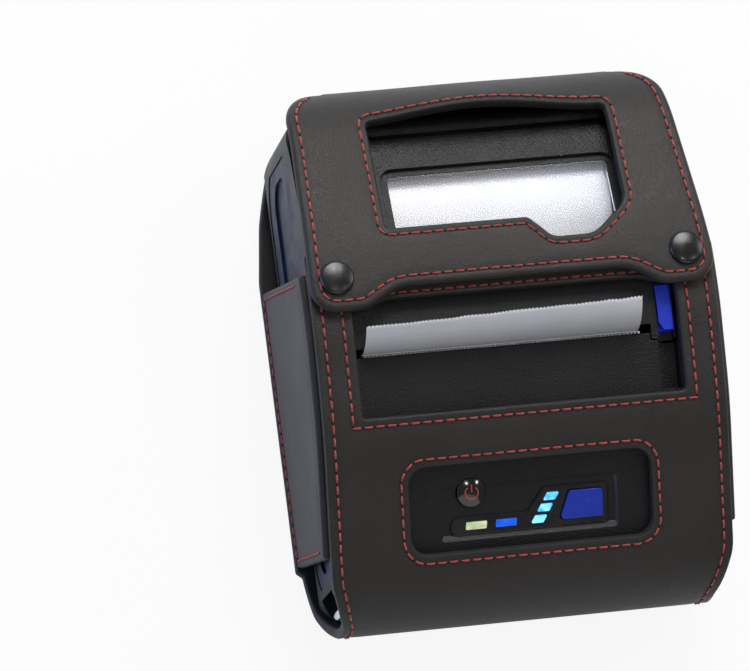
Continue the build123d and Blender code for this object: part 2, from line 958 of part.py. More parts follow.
def paper_lid():
    """Lid over the paper roll, with its hinge barrel, cheeks, wing and front lip."""
    plan = block(lid_left, lid_right, lid_near_y, lid_far_y, parting_height, tall)
    lid = skin(lid_sink, lid_sink + lid_skin, lid_left, lid_right) & plan
    lip_low = platen_height + lip_rise
    lip = block(lid_left, lid_right, lid_near_y, lid_near_y + lip_thickness, lip_low, tall)
    lid += lip & across(side_outline(lid_sink), lid_left, lid_right)
    pin_z = hinge_height()
    lid += x_cylinder(barrel_radius, lid_left, lid_right, lid_hinge_y, pin_z)
    web_low = surface_height(lid_far_y, lid_sink + lid_skin)
    web_near, half = lid_far_y - web_lap, web_half_height
    web = block(lid_left, lid_right, web_near, lid_hinge_y, web_low - half, web_low + half)
    lid += web & across(side_outline(lid_sink + web_sink), lid_left, lid_right)
    for x0, x1 in cheek_spans():
        disc = x_cylinder(cheek_radius, x0, x1, platen_y, platen_height)
        neck = block(x0, x1, lid_near_y, platen_y + cheek_radius, platen_height, tall)
        lid += disc + (neck & across(side_outline(lid_sink + cheek_sink), x0, x1))
    lid += lid_wing()
    lid -= window_prism(window_frame, window_corner + window_frame) & skin(
        -2, lid_sink + window_sink, lid_left, lid_right
    )
    lid -= window_prism(0, window_corner)
    bushes = x_cylinder(platen_bush_radius, lid_left - 1, lid_right + 1, platen_y, platen_height)
    lid -= bushes
    lid -= x_cylinder(hinge_pin_radius + running_gap, lid_left - 1, lid_right + 1, lid_hinge_y, pin_z)
    return lid


def lid_wing():
    """Side wing of the lid that carries the release lever."""
    deep = lid_sink + lever_depth + slide_gap
    start = lid_right - wing_root
    wing = skin(lid_sink, deep + wing_floor, start, wing_right)
    wing = wing & block(start, wing_right, wing_near_y, gear_sweep(), parting_height, tall)
    hollow = skin(-2, deep, lever_left - slide_gap, lever_right + slide_gap)
    return wing - (hollow & lever_slot(slide_gap, lever_travel + part_gap))


def release_lever():
    """Sliding lever: a ridged tab with a sloped near corner."""
    deep = lid_sink + lever_depth
    tab = skin(lid_sink - lever_rise, deep, lever_left, lever_right)
    tab = tab & block(lever_left, lever_right, lever_near_y, lever_far_y, parting_height, tall)
    top = surface_height(lever_near_y, lid_sink - lever_rise)
    corner = Plane.XY * make_face(
        Polyline(
            (lever_left - over, lever_near_y - over),
            (lever_left + lever_facet_width, lever_near_y - over),
            (lever_left - over, lever_near_y + lever_facet_length),
            close=True,
        )
    )
    facet = Pos(0, 0, top - lever_facet_depth) * extrude(corner, tall, dir=(0, 0, 1))
    return tab - facet


def lid_window():
    """Clear pane let into the lid from inside, flush with the frame's floor."""
    top = lid_sink + window_sink
    under = lid_sink + lid_skin
    above = block(lid_left, lid_right, near_y, far_y, parting_height, tall)
    pane = skin(top, under + pane_flange, lid_left, lid_right) & above
    flange = skin(under, under + pane_flange, lid_left, lid_right) & above
    plug = pane & window_prism(-seat_gap, window_corner)
    return plug + (flange & window_prism(pane_flange_lap, window_corner + pane_flange))


def bush_pair():
    """Bearings of the platen shaft, pressed into the lid's cheeks."""
    pair = []
    bore_radius = platen_shaft_radius + running_gap
    for x0, x1 in cheek_spans():
        ring = x_cylinder(platen_bush_radius, x0, x1, platen_y, platen_height)
        bore = x_cylinder(bore_radius, x0 - over, x1 + over, platen_y, platen_height)
        pair.append(ring - bore)
    return pair


def gear(teeth, bore, first_angle, y, z):
    """Spur gear with straight-sided teeth; first_angle is one tooth's bearing from +Y."""
    pitch_radius = gear_module * teeth / 2
    root = pitch_radius - tooth_root * gear_module
    tip = pitch_radius + tooth_tip * gear_module
    thick = pi * gear_module / 2 - tooth_backlash
    points = []
    for i in range(teeth):
        middle = first_angle + 360.0 * i / teeth
        for radius, half in (
            (root, thick * tooth_root_share),
            (tip, thick * tooth_tip_share),
            (tip, -thick * tooth_tip_share),
            (root, -thick * tooth_root_share),
        ):
            angle = radians(middle) - half / radius
            points.append((radius * cos(angle), radius * sin(angle)))
    face = make_face(Plane.YZ * Polyline(*points, close=True))
    wheel = Pos(gear_near_x, y, z) * extrude(face, gear_width, dir=(1, 0, 0))
    hole = x_cylinder(bore, gear_near_x - 1, gear_near_x + gear_width + 1, y, z)
    return wheel - hole


def pinion_place():
    """The pinion's bearing from the idler, moved to its nearest tooth, and its centre."""
    step = 360.0 / idler_teeth
    first = 90.0 + step / 2
    bearing = first + step * round((pinion_bearing - first) / step)
    distance = idler_radius + pinion_radius
    y = platen_y + distance * cos(radians(bearing))
    z = idler_height + distance * sin(radians(bearing))
    return bearing, y, z


def frame_feet():
    """The frame's two feet as (x0, x1, y0, y1, height)."""
    far = platen_y + frame_far_room - frame_foot_step
    near = far - frame_foot_length
    left = frame_left_x
    right = frame_right_x + frame_sheet - frame_foot_width
    return [
        (left, left + frame_foot_width, near, far, frame_left_foot_height),
        (right, right + frame_foot_width, near, far, frame_foot_height),
    ]


def mech_frame():
    """Bent sheet frame: two side plates joined behind the print head."""
    bearing, motor_y, motor_z = pinion_place()
    left, right = frame_left_x, frame_right_x
    near, far = frame_back_y, platen_y + frame_far_room
    shape = block(left, right + frame_sheet, near, near + frame_sheet, frame_web_low, frame_top)
    shape += block(left, left + frame_sheet, near, far, frame_left_foot_height, frame_top)
    motor_near = motor_y - frame_motor_room
    shape += block(right, right + frame_sheet, motor_near, far, frame_foot_height, frame_top)
    shape -= block(
        left - over,
        right + 2 * over,
        platen_y - frame_notch_near,
        platen_y + frame_notch_far,
        platen_height - frame_notch_low,
        tall,
    )
    shape -= x_cylinder(motor_nose_radius + part_gap, right - over, right + over, motor_y, motor_z)
    shape -= x_cylinder(idler_pin_radius, right - over, right + over, platen_y, idler_height)
    for x0, x1, y0, y1, low in frame_feet():
        shape += block(x0, x1, y0, y1, low, low + frame_sheet)
    return shape


def frame_posts():
    """Pillars of the back shell under the frame's two feet."""
    posts = [block(x0, x1, y0, y1, shell_wall / 2, top) for x0, x1, y0, y1, top in frame_feet()]
    return posts[0] + posts[1]


def feed_motor():
    """Round motor with a flange against the frame's right plate."""
    bearing, y, z = pinion_place()
    end = frame_right_x
    can = x_cylinder(motor_radius, end - motor_length, end - frame_sheet, y, z)
    ears = SlotOverall(2 * (motor_radius + motor_ear_reach), motor_ear_width)
    flange = across(Plane.YZ * Pos(y, z) * Rot(0, 0, 90) * ears, end - frame_sheet, end)
    nose = x_cylinder(motor_nose_radius, end, end + motor_nose_length, y, z)
    bore_radius = motor_shaft_radius + running_gap
    bore = x_cylinder(bore_radius, end - motor_bore_depth, end + 2 * over, y, z)
    return can + flange + nose - bore


def motor_pinion():
    bearing, y, z = pinion_place()
    first = bearing - 180.0 + 180.0 / pinion_teeth
    wheel = gear(pinion_teeth, motor_shaft_radius, first, y, z)
    start = frame_right_x - motor_bore_depth + shaft_end_gap
    shaft = x_cylinder(motor_shaft_radius, start, gear_near_x + gear_width, y, z)
    return wheel + shaft


def print_head():
    """Heater board that faces the platen, and its aluminium backing."""
    face_y = platen_y - platen_radius - paper_thickness - 2 * head_gap
    low, high = platen_height - head_height / 2, platen_height + head_height / 2
    left, right = paper_left + head_side_room, paper_right - head_side_room
    board = block(left, right, face_y - head_board, face_y, low, high)
    back_y = face_y - head_board
    sink = block(paper_left, paper_right, back_y - sink_depth, back_y, low - sink_drop, high)
    near, far = back_y - sink_depth - over, back_y - sink_back
    for i in range(rib_count):
        x = paper_left + rib_margin + i * (paper_width - 2 * rib_margin) / (rib_count - 1)
        rib = block(x - rib_half, x + rib_half, near, far, low + rib_low, high + over)
        if i % 3:
            sink -= rib
    return board, sink


def spring_path():
    face_y = platen_y - platen_radius - paper_thickness - 2 * head_gap
    start = frame_back_y + frame_sheet
    return start, face_y - head_board - sink_depth - start


def spring_helix():
    start_y, length = spring_path()
    rise = length - spring_wire
    return Helix(pitch=rise / spring_turns, height=rise, radius=spring_radius - spring_wire / 2)


def spring_gap():
    """Least gap between a spring's turns, measured on points of its centreline."""
    helix = spring_helix()
    steps = 48 * spring_turns
    points = [helix @ (i / steps) for i in range(steps + 1)]
    apart = []
    for i in range(steps + 1):
        for j in range(i + 24, steps + 1):
            apart.append((points[i] - points[j]).length)
    return min(apart) - spring_wire


def head_springs():
    """Compression springs that push the head against the platen."""
    start_y, length = spring_path()
    helix = spring_helix()
    section = Plane(origin=helix @ 0, z_dir=helix % 0) * Circle(spring_wire / 2)
    coil = sweep(section, path=helix)
    coils = []
    for i in range(spring_count):
        x = paper_x + (i - (spring_count - 1) / 2) * paper_width / spring_count
        place = Pos(x, start_y + spring_wire / 2, platen_height) * Rot(-90, 0, 0)
        coils.append(place * coil)
    return coils


def tear_bar():
    """Serrated strip on the near edge of the paper slot."""
    left, right = paper_left - tear_bar_reach, paper_right + tear_bar_reach
    low = surface_height(lid_near_y, tear_bar_depth)
    high = surface_height(lid_near_y, tear_bar_sink)
    count = round((right - left) / tear_tooth_pitch)
    pitch = (right - left) / count
    points = [(left, low)]
    for i in range(count):
        points.append((left + i * pitch, high))
        points.append((left + (i + 0.5) * pitch, high + tear_tooth_height))
    points += [(right, high), (right, low)]
    face = make_face(Plane.XZ * Polyline(*points, close=True))
    return Pos(0, slot_near_y, 0) * extrude(face, tear_bar_thickness, dir=(0, -1, 0))


def roll_and_core():
    left, right = paper_left, paper_right
    roll = x_cylinder(roll_radius, left, right, roll_y, roll_height)
    roll -= x_cylinder(core_radius, left - 1, right + 1, roll_y, roll_height)
    core = x_cylinder(core_radius, left, right, roll_y, roll_height)
    core -= x_cylinder(core_radius - core_wall, left - 1, right + 1, roll_y, roll_height)
    return roll, core


def paper_trough():
    """Open trough with two end cheeks, moulded to the roll."""
    left = paper_left - trough_side_gap - trough_wall
    right = paper_right + trough_side_gap + trough_wall
    outer_radius = trough_inner + trough_wall
    outer = x_cylinder(outer_radius, left, right, roll_y, roll_height)
    inner = x_cylinder(trough_inner, left + trough_wall, right - trough_wall, roll_y, roll_height)
    lower = block(left, right, roll_y - outer_radius, roll_y + outer_radius, 0, roll_height + trough_rim)
    return (outer - inner) & lower


def paper_web():
    """Paper from the roll, under the platen and up to the slot."""
    bend = platen_radius + head_gap + paper_thickness / 2
    distance = hypot(roll_y - platen_y, roll_height - platen_height)
    to_roll = atan2(roll_height - platen_height, roll_y - platen_y)
    roll_line = roll_radius + head_gap + paper_thickness / 2
    swing = acos_of((bend + roll_line) / distance)
    touch = to_roll - swing
    start_angle = -180.0
    sweep_angle = degrees(touch) + 180.0
    inner = bend - paper_thickness / 2
    outer = bend + paper_thickness / 2
    top = surface_height(lid_near_y, web_top_sink)
    ring = Circle(outer) - Circle(inner)
    steps = 8
    fan = [(0, 0)]
    for i in range(steps + 1):
        angle = radians(start_angle + sweep_angle * i / steps)
        fan.append((12 * cos(angle), 12 * sin(angle)))
    bend_part = ring & make_face(Polyline(*fan, close=True))
    up = Pos(-bend, (top - platen_height) / 2) * Rectangle(paper_thickness, top - platen_height)
    along = sqrt(distance**2 - (bend + roll_line) ** 2)
    touch_deg = degrees(touch)
    run = Rot(0, 0, touch_deg) * Pos(bend, along / 2) * Rectangle(paper_thickness, along)
    flat = Pos(platen_y, platen_height) * (bend_part + up + run)
    return across(Plane.YZ * flat, paper_left, paper_right)


def paper_tongue():
    """The torn end of the paper, curling back over the lid."""
    radius = tongue_rise_radius
    y0 = paper_face_y
    z0 = surface_height(lid_near_y, web_top_sink) + slide_gap
    arc = CenterArc((y0 + radius, z0), radius, 180 - tongue_sweep, tongue_sweep)
    inner = CenterArc((y0 + radius, z0), radius - 2 * paper_thickness, 180 - tongue_sweep, tongue_sweep)
    face = make_face([arc, inner, Line(arc @ 0, inner @ 0), Line(arc @ 1, inner @ 1)])
    return across(Plane.YZ * face, paper_left, paper_right)


def battery_pack():
    """Removable pack that fills the bay and follows the machine's back."""
    bulk = block(
        -battery_half_width,
        battery_half_width,
        battery_near_y,
        battery_far_y,
        0,
        battery_height,
    )
    pack = bulk & machine_form()
    start = battery_near_y + grip_near
    grip = block(-grip_half, grip_half, start, start + grip_width, -over, grip_depth)
    for i in range(4):
        pack -= Pos(0, i * grip_pitch, 0) * grip
    return pack


def board_place():
    """The main board's (x0, x1, y0, y1, underside)."""
    half = half_width - board_side_room
    low = battery_height + part_gap + bay_wall + board_stand
    return -half, half, battery_near_y + board_near_step, battery_far_y, low


def main_board():
    x0, x1, y0, y1, low = board_place()
    return upright(x0, x1, y0, y1, board_corner, low, low + board_thickness)


def board_parts():
    """Chips, connector and the board's tall parts."""
    x0, x1, y0, y1, low = board_place()
    top = low + board_thickness
    parts = []
    for left, near, width, length, height in board_part_sizes:
        x, y = x0 + left, y0 + near
        parts.append(block(x, x + width, y, y + length, top, top + height))
    return parts


def board_posts():
    """Pillars of the battery bay's roof under the main board's corners and far edge."""
    x0, x1, y0, y1, low = board_place()
    roof = battery_height + part_gap + bay_wall / 2
    inner = battery_half_width - board_post
    posts = block(-board_post / 2, board_post / 2, y1 - board_post, y1, roof, low)
    for x in (-inner, inner - board_post):
        posts += block(x, x + board_post, y0, y0 + board_post, roof, low)
    return posts


def layer(inner, outer):
    """A leather layer all round the side outline, as wide as the back of the case."""
    return skin(-outer, -inner, -back_half, back_half)


def wrap_plan():
    """Plan of the wrap: as wide as the case up to the gussets' ends, then a narrower strap."""
    near = near_y - slip - leather
    shoulder_y = gusset_far_back_y + wrap_shoulder_reach
    right = [
        (0, near),
        (back_half, near),
        (back_half, shoulder_y),
        (strap_half_width, shoulder_y + wrap_shoulder_run),
        (strap_half_width, far_y + tall),
    ]
    left = [(-x, y) for x, y in reversed(right[1:])]
    radii_right = [wrap_corner_radius, wrap_shoulder_corner, wrap_shoulder_bend, 0.0]
    radii = [0.0] + radii_right + list(reversed(radii_right))
    return make_face(FilletPolyline(*right, *left, radius=radii, close=True))


def case_wrap():
    """Leather from the two bars under the flap, round the near end and along the back."""
    outer = slip + leather
    wrap = layer(slip, outer)
    wrap -= block(-back_half, back_half, bar_far_y, far_y + tall, wrap_end_height, tall)
    for low, high in ((-back_half - over, -case_half), (case_half, back_half + over)):
        wrap -= block(low, high, near_y - tall, far_y + tall, wrap_end_height, tall)
    wrap = wrap & Pos(0, 0, -crown_height) * extrude(wrap_plan(), 2 * tall, dir=(0, 0, 1))
    front = parting_height
    wrap -= upright(mouth_left, mouth_right, mouth_near_y, far_y + tall, mouth_corner, front)
    wrap -= upright(
        -panel_window_width / 2,
        panel_window_width / 2,
        panel_window_near_y,
        panel_window_far_y,
        panel_window_corner,
        front,
    )
    for stud in snap_studs():
        wrap -= stud
    return wrap


def flap_outline():
    """Plan of the flap: lobes under the snaps, a higher edge between, a strap at the far end."""
    half = case_half
    lobe_in = snap_x - flap_lobe_half
    rise_in = lobe_in - flap_bend_run
    shoulder_y = far_y + slip - flap_shoulder_radius + flap_shoulder_reach
    right = [
        (0, flap_edge_y),
        (rise_in, flap_edge_y),
        (lobe_in, flap_lobe_y),
        (half, flap_lobe_y),
        (half, shoulder_y + flap_shoulder_radius),
        (strap_half_width, shoulder_y + flap_shoulder_radius),
        (strap_half_width, far_y + tall),
    ]
    left = [(-x, y) for x, y in reversed(right[1:])]
    shoulder = flap_shoulder_radius - strap_step / 2
    radii_right = [flap_bend_radius, flap_lobe_in_radius, flap_lobe_radius, shoulder, 0.0, 0.0]
    radii = [0.0] + radii_right + list(reversed(radii_right))
    return make_face(FilletPolyline(*right, *left, radius=radii, close=True))


def flap_window():
    """Window over the lid, with a finger notch at its lower right."""
    points = [
        (flap_window_left, flap_window_near_y),
        (notch_left, flap_window_near_y),
        (notch_left + notch_run, notch_y),
        (notch_centre + notch_half, notch_y),
        (flap_window_right, notch_y + notch_rise),
        (flap_window_right, flap_window_far_y),
        (flap_window_left, flap_window_far_y),
    ]
    outline = make_face(FilletPolyline(*points, radius=flap_window_radii, close=True))
    return Pos(0, 0, parting_height) * extrude(outline, tall, dir=(0, 0, 1))


def case_flap():
    """Closing flap: over the far end and down the face to its two snaps."""
    inner = slip + leather + lap_gap
    flap = layer(inner, inner + leather)
    flap = flap & Pos(0, 0, fold_height) * extrude(flap_outline(), tall, dir=(0, 0, 1))
    flap -= flap_window()
    for plane in snap_planes():
        flap -= plane * Pos(0, 0, inner + leather) * Cylinder(snap_socket_radius, 4 * leather)
    return flap


def flap_band():
    """Band sewn under the flap's edge; its rim closes the mouth while the flap is shut."""
    left, right = mouth_left + band_side_gap, mouth_right - band_side_gap
    points = [
        (left, band_far_y),
        (left, band_end_y),
        (-band_bend_x, band_near_y),
        (band_bend_x, band_near_y),
        (right, band_end_y),
        (right, band_far_y),
    ]
    bend = flap_bend_radius
    corner = band_corner
    radii = [corner, corner, bend, bend, corner, corner]
    outline = make_face(FilletPolyline(*points, radius=radii, close=True))
    inner = slip + lap_gap - seat_gap
    return layer(inner, inner + leather) & Pos(0, 0, parting_height) * extrude(
        outline, tall, dir=(0, 0, 1)
    )


def flap_tail():
    """Lower end of the flap, sewn over the end of the back."""
    inner = slip + leather
    tail = layer(inner, inner + leather)
    return tail & block(
        -strap_half_width,
        strap_half_width,
        0,
        far_y + tall,
        tail_low,
        fold_height - fold_gap,
    )


def gusset(sign):
    """Side panel of the case, between the front and the back leather."""
    inner = sign * (half_width + slip)
    outer = sign * (half_width + slip + leather)
    low, high = sorted((inner, outer))
    span = crown_height
    far_lean = (gusset_far_front_y - gusset_far_back_y) / span
    near_lean = (gusset_near_front_y - gusset_near_back_y) / span
    base, top = -crown_height, tall
    points = [
        (gusset_near_back_y + near_lean * base, base),
        (gusset_far_back_y + far_lean * base, base),
        (gusset_far_back_y + far_lean * top, top),
        (gusset_near_back_y + near_lean * top, top),
    ]
    window = make_face(Plane.YZ * Polyline(*points, close=True))
    return across(side_outline(-slip) & window, low, high)


def snap_planes():
    """Planes that touch the inside of the leather at the two snaps."""
    step = 0.5
    rise = surface_height(snap_y + step, -slip) - surface_height(snap_y - step, -slip)
    slope = atan2(rise, 2 * step)
    height = surface_height(snap_y, -slip)
    planes = []
    for sign in (-1, 1):
        planes.append(
            Plane(
                origin=(sign * snap_x, snap_y, height),
                x_dir=(1, 0, 0),
                z_dir=(0, -sin(slope), cos(slope)),
            )
        )
    return planes


def snap_caps():
    """Domed caps on the flap."""
    flatter = (snap_cap_radius**2 + snap_cap_height**2) / (2 * snap_cap_height)
    dome_radius = flatter + snap_dome_ease
    caps = []
    base = 2 * leather + lap_gap
    for plane in snap_planes():
        rim = Cylinder(snap_cap_radius, snap_cap_height)
        dome = Pos(0, 0, snap_cap_height / 2 - dome_radius) * Sphere(dome_radius)
        caps.append(plane * Pos(0, 0, base + snap_cap_height / 2) * (rim & dome))
    return caps


def snap_sockets():
    """Rings set in the flap under the caps."""
    rings = []
    middle = leather + lap_gap + leather / 2
    for plane in snap_planes():
        ring = Cylinder(snap_socket_radius, leather) - Cylinder(snap_socket_bore, 2 * leather)
        rings.append(plane * Pos(0, 0, middle) * ring)
    return rings


def snap_studs():
    """Studs riveted through the leather below the flap."""
    studs = []
    for plane in snap_planes():
        length = leather + snap_stud_height
        shank = Pos(0, 0, length / 2) * Cylinder(snap_stud_radius, length)
        head = Pos(0, 0, -snap_post_height / 2) * Cylinder(snap_post_radius, snap_post_height)
        studs.append(plane * (shank + head))
    return studs


def save(name, *shapes):
    """Writes one node, lifted onto the leather of the back."""
    solids = []
    for shape in shapes:
        solids += list((Pos(0, 0, lift) * shape).solids())
    node = solids[0] if len(solids) == 1 else Compound(children=solids)
    export_step(node, f"parts/{name}.step")


def machine():
    save("back_shell", back_shell() + frame_posts() + board_posts())
    save("front_shell", front_shell())
    save("side_trim_left", side_trim(-1))
    save("side_trim_right", side_trim(1))
    save("strap_loop_left", strap_loop(-1))
    save("strap_loop_right", strap_loop(1))
    save("shell_screws", *[screw(place) for place in screw_places()])
    save("battery_pack", battery_pack())
    save("main_board", main_board())
    save("board_parts", *board_parts())


def operation_panel():
    save("led_bezel", led_bezel())
    save("power_light", *lamps("power_light"))
    save("error_light", *lamps("error_light"))
    save("battery_lights", *lamps("battery_lights"))
    save("power_button", power_button())
    save("feed_button", feed_button())
    save("panel_board", panel_board())
    save("panel_switches", *panel_switches())


def lid_group():
    save("paper_lid", paper_lid())
    save("lid_window", lid_window())
    save("release_lever", release_lever())
    save("lid_hinge_pin", hinge_pin())
    save("platen_bushes", *bush_pair())


def paper_drive():
    rubber = x_cylinder(platen_radius, paper_left, paper_right, platen_y, platen_height)
    shaft_end = gear_near_x + gear_width
    shaft = x_cylinder(platen_shaft_radius, lid_left + shaft_end_room, shaft_end, platen_y, platen_height)
    save("platen_roller", rubber - shaft)
    save("platen_shaft", shaft)
    save("platen_gear", gear(platen_teeth, platen_shaft_radius, -90.0, platen_y, platen_height))
    idler_first = 90.0 + 180.0 / idler_teeth
    idler_bore = idler_pin_radius + running_gap
    save("idler_gear", gear(idler_teeth, idler_bore, idler_first, platen_y, idler_height))
    pin_end = shaft_end + idler_pin_reach
    pin = x_cylinder(idler_pin_radius, frame_right_x, pin_end, platen_y, idler_height)
    save("idler_pin", pin)
    save("motor_pinion", motor_pinion())
    save("feed_motor", feed_motor())
    save("mech_frame", mech_frame())
    board, sink = print_head()
    save("print_head", board)
    save("head_heat_sink", sink)
    save("head_springs", *head_springs())
    save("tear_bar", tear_bar())


def paper():
    roll, core = roll_and_core()
    save("paper_roll", roll)
    save("roll_core", core)
    save("paper_trough", paper_trough())
    save("paper_web", paper_web())
    save("paper_tongue", paper_tongue())


def leather_case():
    save("case_wrap", case_wrap())
    save("case_flap", case_flap())
    save("flap_band", flap_band())
    save("flap_tail", flap_tail())
    save("gusset_left", gusset(-1))
    save("gusset_right", gusset(1))
    save("snap_caps", *snap_caps())
    save("snap_sockets", *snap_sockets())
    save("snap_studs", *snap_studs())


os.makedirs("parts", exist_ok=True)
machine()
operation_panel()
lid_group()
paper_drive()
paper()
leather_case()
print("least gap of a head spring to itself:", round(spring_gap(), 2), "mm")
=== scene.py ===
import json
from math import atan2, ceil, cos, pi, radians, sin, tan

import bpy
import numpy as np
from mathutils import Matrix, Vector
from mathutils.geometry import delaunay_2d_cdt

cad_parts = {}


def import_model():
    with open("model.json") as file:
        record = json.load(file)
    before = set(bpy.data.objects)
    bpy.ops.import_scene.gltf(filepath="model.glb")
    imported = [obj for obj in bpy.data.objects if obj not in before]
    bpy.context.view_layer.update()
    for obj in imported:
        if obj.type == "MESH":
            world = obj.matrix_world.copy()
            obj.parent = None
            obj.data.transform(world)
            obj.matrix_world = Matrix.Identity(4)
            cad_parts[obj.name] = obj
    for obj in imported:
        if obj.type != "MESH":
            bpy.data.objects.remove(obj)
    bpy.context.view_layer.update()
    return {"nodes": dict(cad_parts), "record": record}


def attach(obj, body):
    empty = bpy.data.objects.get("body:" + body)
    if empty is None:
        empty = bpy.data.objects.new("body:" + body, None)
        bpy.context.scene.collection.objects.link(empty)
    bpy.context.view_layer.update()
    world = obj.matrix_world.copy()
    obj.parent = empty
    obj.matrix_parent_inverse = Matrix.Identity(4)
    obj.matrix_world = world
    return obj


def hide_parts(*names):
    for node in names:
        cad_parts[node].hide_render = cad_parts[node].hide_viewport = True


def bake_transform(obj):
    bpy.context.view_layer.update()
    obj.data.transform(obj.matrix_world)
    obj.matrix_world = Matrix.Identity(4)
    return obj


# Portable thermal printer in its sewn leather case. Lengths are in millimetres until a mesh
# is made. The leather follows the machine's side outline: a point of it is X across, S along
# the outline and D out from the machine's skin.

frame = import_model()
MM = 0.001

# Machine's side outline, its back at Z = 0, and how far the machine lies above the floor
CORNERS = [(-53, 0), (-53, 25.5), (-18, 40.5), (2, 44), (15.5, 44), (53, 34), (53, 0)]
RADII = [15.5, 14, 55, 40, 68, 17, 17.5]
LIFT = 2.7
HALF_WIDTH = 41.0

# Leather layers, out from the skin
LEATHER = 2.2
WRAP_D = 0.5
BAND_D = 0.65
FLAP_D = 2.9
CASE_HALF = 42.5
BACK_HALF = 44.0
STRAP_HALF = 31.3
WING_NEAR_Y, WING_FAR_Y = -38.3, 22.6

# Seams
STITCH = 2.45
THREAD = 0.22
THREAD_SHARE = 0.62
SEAM_IN = 2.1
WINDOW_SEAM_OUT = 1.7


def outline_samples(step=0.25):
    """Points and outward normals of the side outline from the middle of the back, by arc length."""
    count = len(CORNERS)
    rows = []
    for i in range(count):
        a, p, b = (np.array(CORNERS[k % count], float) for k in (i - 1, i, i + 1))
        t0, t1 = (p - a) / np.linalg.norm(p - a), (b - p) / np.linalg.norm(b - p)
        turn = np.arccos(np.clip(t0 @ t1, -1, 1))
        radius = RADII[i]
        start = p - t0 * radius * tan(turn / 2)
        n0 = np.array((-t0[1], t0[0]))
        centre = start - n0 * radius
        steps = max(int(radius * turn / step), 2)
        for k in range(steps + 1):
            angle = atan2(n0[1], n0[0]) - turn * k / steps
            normal = np.array((cos(angle), sin(angle)))
            rows.append((*(centre + normal * radius), *normal))
    middle = (0.0, 0.0, 0.0, -1.0)
    rows = np.array([middle] + rows + [middle])
    length = np.hypot(*np.diff(rows[:, :2], axis=0).T)
    return np.concatenate([[0], np.cumsum(length)]), rows


ARC, ROWS = outline_samples()
AROUND = ARC[-1]


def outline_at(s):
    """Point and unit normal of the outline at arc length s."""
    s = np.mod(s, AROUND)
    y, z, ny, nz = (np.interp(s, ARC, ROWS[:, k]) for k in range(4))
    size = np.hypot(ny, nz)
    return y, z, ny / size, nz / size


def place(x, s, d):
    """Millimetre points of the frame for X, S and D."""
    y, z, ny, nz = outline_at(s)
    return np.stack([x + 0 * y, y + d * ny, z + d * nz + LIFT], -1)


def front_s(y, d):
    """Arc length where the front surface, d out from the skin, passes Y."""
    lift = ROWS[:, 2] * d + ROWS[:, 0]
    rows = (ARC > ARC[np.argmin(lift)]) & (ARC < ARC[np.argmax(lift)])
    return np.interp(y, lift[rows], ARC[rows])


def far_s(height, d=0.0):
    """Arc length where the far end, going down, passes that height over the machine's back."""
    z = ROWS[:, 1] + ROWS[:, 3] * d
    rows = ARC > ARC[np.argmax(z)]
    rows &= ROWS[:, 0] > 5
    return np.interp(-height, -z[rows], ARC[rows])


def rounded(points, radii, step=0.5):
    """Closed outline through the points with rounded corners, as evenly spaced points."""
    out = []
    count = len(points)
    for i in range(count):
        a, p, b = (np.array(points[k % count], float) for k in (i - 1, i, i + 1))
        u, v = (a - p) / np.linalg.norm(a - p), (b - p) / np.linalg.norm(b - p)
        radius = radii[i] if hasattr(radii, "__len__") else radii
        angle = np.arccos(np.clip(u @ v, -1, 1))
        if radius <= 0 or angle > pi - 0.01:
            out.append(p)
            continue
        reach = radius / tan(angle / 2)
        centre = p + (u + v) / np.linalg.norm(u + v) * radius / sin(angle / 2)
        first, last = p + u * reach - centre, p + v * reach - centre
        a0 = atan2(first[1], first[0])
        sweep = (atan2(last[1], last[0]) - a0 + pi) % (2 * pi) - pi
        steps = max(int(abs(sweep) * radius / step), 3)
        for k in range(steps + 1):
            angle = a0 + sweep * k / steps
            out.append(centre + radius * np.array((cos(angle), sin(angle))))
    return resample(np.array(out), step)


def resample(loop, step, closed=True):
    """Splits long sides of a line and drops points that lie closer than a third of step."""
    ends = np.roll(loop, -1, 0) if closed else np.concatenate([loop[1:], loop[-1:]])
    out = []
    for a, b in zip(loop, ends):
        parts = max(int(ceil(np.linalg.norm(b - a) / step)), 1)
        for k in range(parts):
            point = a + (b - a) * k / parts
            if not out or np.linalg.norm(point - out[-1]) > step / 3:
                out.append(point)
    if not closed and np.linalg.norm(loop[-1] - out[-1]) > 1e-9:
        out.append(loop[-1])
    if closed and np.linalg.norm(out[0] - out[-1]) < step / 3:
        out.pop()
    return np.array(out)


def inside(points, loop):
    """Which points lie inside a closed outline."""
    x, y = points[:, :1], points[:, 1:]
    ax, ay = loop[:, 0], loop[:, 1]
    bx, by = np.roll(ax, -1), np.roll(ay, -1)
    crosses = (ay > y) != (by > y)
    gap = np.where(by == ay, 1e-12, by - ay)
    return (crosses & (x < (bx - ax) * (y - ay) / gap + ax)).sum(1) % 2 == 1


def distance_to(points, line, closed=True):
    """Least distance from each point to a line of points."""
    a = line if closed else line[:-1]
    b = np.roll(line, -1, 0) if closed else line[1:]
    run = b - a
    size = np.maximum((run**2).sum(1), 1e-12)
    best = np.full(len(points), 1e9)
    for start in range(0, len(points), 2000):
        part = points[start : start + 2000]
        rel = part[:, None] - a[None]
        t = np.clip((rel * run).sum(2) / size, 0, 1)
        gap = ((rel - t[..., None] * run) ** 2).sum(2)
        best[start : start + 2000] = np.sqrt(gap.min(1))
    return best


def offset_loop(loop, t, sign):
    """The outline moved by t towards its left side (sign 1) or right side (-1)."""
    ahead = np.roll(loop, -1, 0) - np.roll(loop, 1, 0)
    ahead /= np.maximum(np.linalg.norm(ahead, axis=1, keepdims=True), 1e-9)
    moved = loop + sign * t * np.stack([-ahead[:, 1], ahead[:, 0]], 1)
    return moved[distance_to(moved, loop) > t - 0.02]


